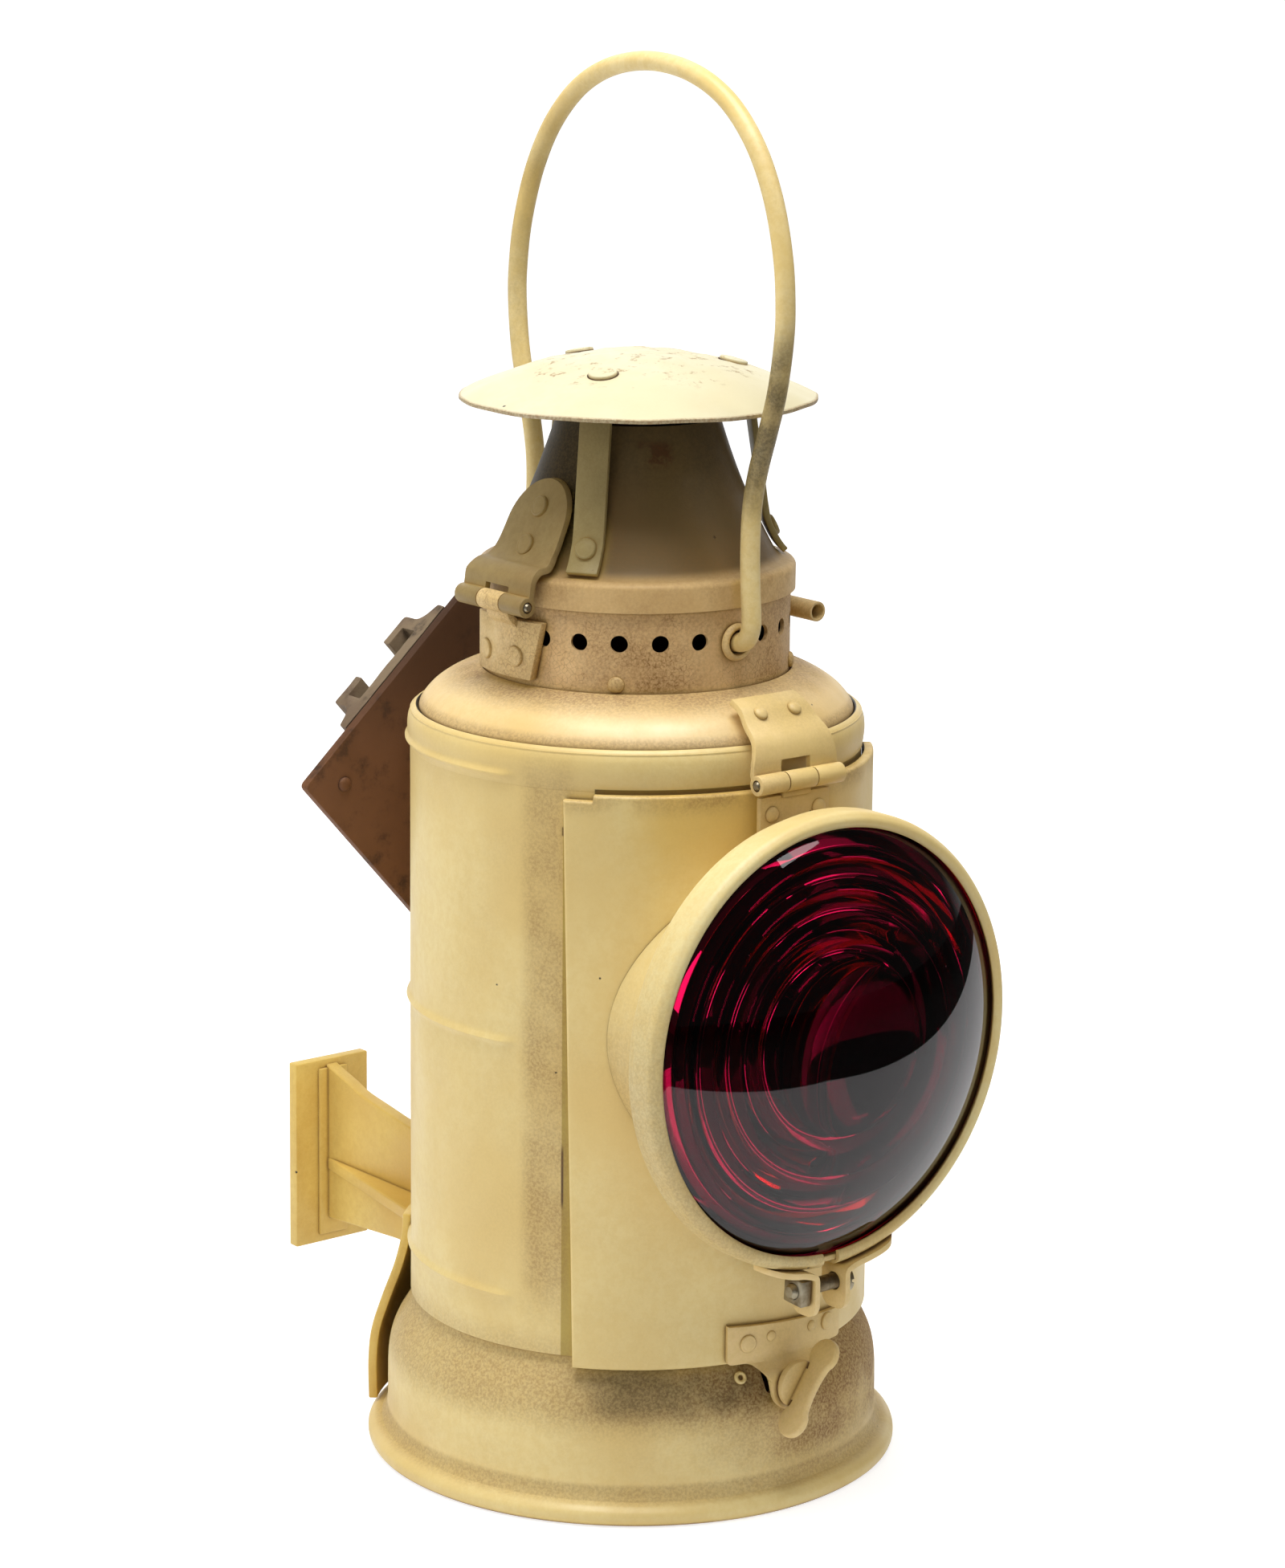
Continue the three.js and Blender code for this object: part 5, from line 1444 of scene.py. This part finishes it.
def make_burner():
    collar = rounded([(15, 76), (16.7, 76), (16.7, 82.3), (22, 82.3), (22, 87), (15, 87)], 0.5)
    metal_turned("burner_collar", collar, 64, BRASS)

    low, high = heights("burner_body")
    dish = [(12, low), (21, low), (21, low + 2.4), (25, low + 8, 2), (25, high - 3, 2), (23, high), (12, high)]
    body = turned("burner_body_skin", rounded(dish, 0.5), 64)
    weld(body, block("tool", (-12.6, -13, low + 4), (12.6, 13, high - 2)))
    _, knob_y, knob_z = middle("wick_knob")
    cut(
        body,
        block("tool", (-10.3, -3.7, 60), (10.3, 3.7, 160)),
        drill(1.7, (0, knob_y, knob_z), (60, knob_y, knob_z), 24),
        block("tool", (5, knob_y - 3, knob_z - 3), (10, 0, knob_z + 3)),
    )
    finish(body, "lamp", BRASS)

    tube = block("wick_tube_skin", *node_box("wick_tube"), 0.4)
    finish(cut(tube, block("tool", (-9, -2.4, 60), (9, 2.4, 160))), "lamp", BRASS)

    shell = flowing([(23.9, 108.3), (23.8, 115), (23, 122), (19.4, 133), (16, 137.4), (12, 140)], 5)
    dome = turned("flame_dome_skin", walled(shell, 0.9), 64)
    for i in range(6):
        vent = drill(2.2, (0, 0, 15), (0, 0, 30), 20)
        cut(dome, shift(vent, spun(60 * i) @ facing((0, 0, 116), (1, 0, 0))))
    finish(dome, "lamp", BRASS)

    finish(block("wick_skin", *node_box("wick"), 0.5), "wick", COTTON)
    shaft = rod("wick_knob_skin", 1.35, (2, 0, 0), (46, 0, 0), 24)
    wheel = rod("tool", 5.9, (44, 0, 0), (47.3, 0, 0), 64, 0.4)
    spur = rod("tool", 2.1, (6, 0, 0), (9, 0, 0), 24)
    for spot in round_about(16, 5.9):
        cut(wheel, drill(0.55, (43, *spot), (48, *spot), 8))
    weld(shaft, wheel, spur)
    finish(shift(shaft, moved(0, knob_y, knob_z)), "wick_knob", BRASS)


# ---- stage ----

VIEW_TURN = -38.7527  # degrees round from the lens, as the photograph was taken
VIEW_PITCH = 79.9635
VIEW_ROLL = 0.43734


def make_floor():
    """A glowing white sweep, as bright as the background, with only a faint contact shadow on it.
    What the lamp sees of it ends a little way in front, where the lit table ended."""
    mesh = bpy.data.meshes.new("floor")
    far = 60.0  # metres
    mesh.from_pydata([(-far, -far, 0), (far, -far, 0), (far, far, 0), (-far, far, 0)], [], [(0, 1, 2, 3)])
    floor = put("floor", mesh)
    floor.location.z = -0.0002
    s = Shader("floor_paper")
    edge = s.math("MULTIPLY_ADD", s.math("MAXIMUM", s.math("SUBTRACT", s.x, 0.15), 0), 0.38, -0.49)
    lit = s.ramp(s.math("SUBTRACT", s.y, edge), -0.004, 0.004)
    seen = s.nodes.new("ShaderNodeLightPath").outputs["Is Camera Ray"]
    white = s.math("MAXIMUM", lit, seen)
    away = s.ramp(s.distance(s.x, s.y), 0.25, 0.9, 0.72, 1.0)
    glow = s.math("MAXIMUM", s.times(lit, 0.56), s.times(seen, away))
    tone = s.mix(s.ramp(s.noise(3, 2), 0.3, 0.7), (0.5, 0.5, 0.5, 1), (0.48, 0.48, 0.48, 1))
    s.surface.inputs["Emission Color"].default_value = (1, 1, 1, 1)
    tone = s.mix(white, (0.02, 0.02, 0.02, 1), tone)
    floor.data.materials.append(s.give(base_color=tone, roughness=0.9, emission_strength=glow))


LIT = Vector((0, 0, 0.2))  # what the lights point at


def softbox(name, turn, height, away, size, power, mirrored=False):
    """A square light, turned round the lamp from the camera's side towards its right."""
    data = bpy.data.lights.new(name, "AREA")
    data.shape = "RECTANGLE"
    data.size, data.size_y = size
    data.energy = power
    light = put(name, data)
    light.location = (*outwards(VIEW_TURN + turn, away), height)
    light.rotation_euler = (LIT - light.location).to_track_quat("-Z", "Y").to_euler()
    light.visible_glossy = mirrored


def make_world():
    """A white room to the camera. It lights the lamp from behind and the sides, and is dark in front."""
    world = bpy.data.worlds.new("studio")
    bpy.context.scene.world = world
    world.use_nodes = True
    nodes, links = world.node_tree.nodes, world.node_tree.links
    place = nodes.new("ShaderNodeTexCoord")
    dot = nodes.new("ShaderNodeVectorMath")
    dot.operation = "DOT_PRODUCT"
    dot.inputs[1].default_value = (*outwards(VIEW_TURN, -1), 0)
    links.new(place.outputs["Generated"], dot.inputs[0])
    shade = nodes.new("ShaderNodeMapRange")
    for key, value in (("From Min", 0.58), ("From Max", 0.86), ("To Min", 0.04), ("To Max", 1.2)):
        shade.inputs[key].default_value = value
    links.new(dot.outputs["Value"], shade.inputs["Value"])
    seen = nodes.new("ShaderNodeLightPath").outputs["Is Camera Ray"]
    white = nodes.new("ShaderNodeMath")
    white.operation = "MAXIMUM"
    links.new(seen, white.inputs[0])
    links.new(shade.outputs["Result"], white.inputs[1])
    background = nodes["Background"]
    background.inputs["Color"].default_value = (1, 1, 1, 1)
    links.new(white.outputs[0], background.inputs["Strength"])


def make_camera():
    data = bpy.data.cameras.new("camera")
    data.sensor_width = 36
    data.lens = 106.0
    data.shift_y = -0.15
    data.clip_start, data.clip_end = 0.05, 100
    camera = put("camera", data)
    camera.location = (-0.909781, -1.136136, 0.553554)
    camera.rotation_euler = (spun(VIEW_TURN) @ spun(VIEW_PITCH, "X") @ spun(VIEW_ROLL)).to_euler()
    bpy.context.scene.camera = camera


make_base()
make_body()
make_drum()
make_side_tube()
make_door_hinge()
make_lid_hinge()
make_door()
make_lens()
make_clamp()
make_latch()
make_cone()
make_cap()
make_bail()
make_plate()
make_bracket()
make_fount()
make_burner()

make_floor()
make_world()
make_camera()
softbox("top", -8, 1.4, 0.22, (0.8, 0.8), 19, True)
softbox("key", 68, 0.95, 0.9, (0.34, 0.07), 0.35, True)
softbox("left", -95, 0.7, 1.3, (0.6, 1.2), 8)
softbox("front", -15, 0.9, 1.8, (0.9, 0.9), 9)
softbox("right", 85, 0.9, 1.3, (0.6, 1.2), 5)
bpy.context.scene.view_settings.view_transform = "Standard"
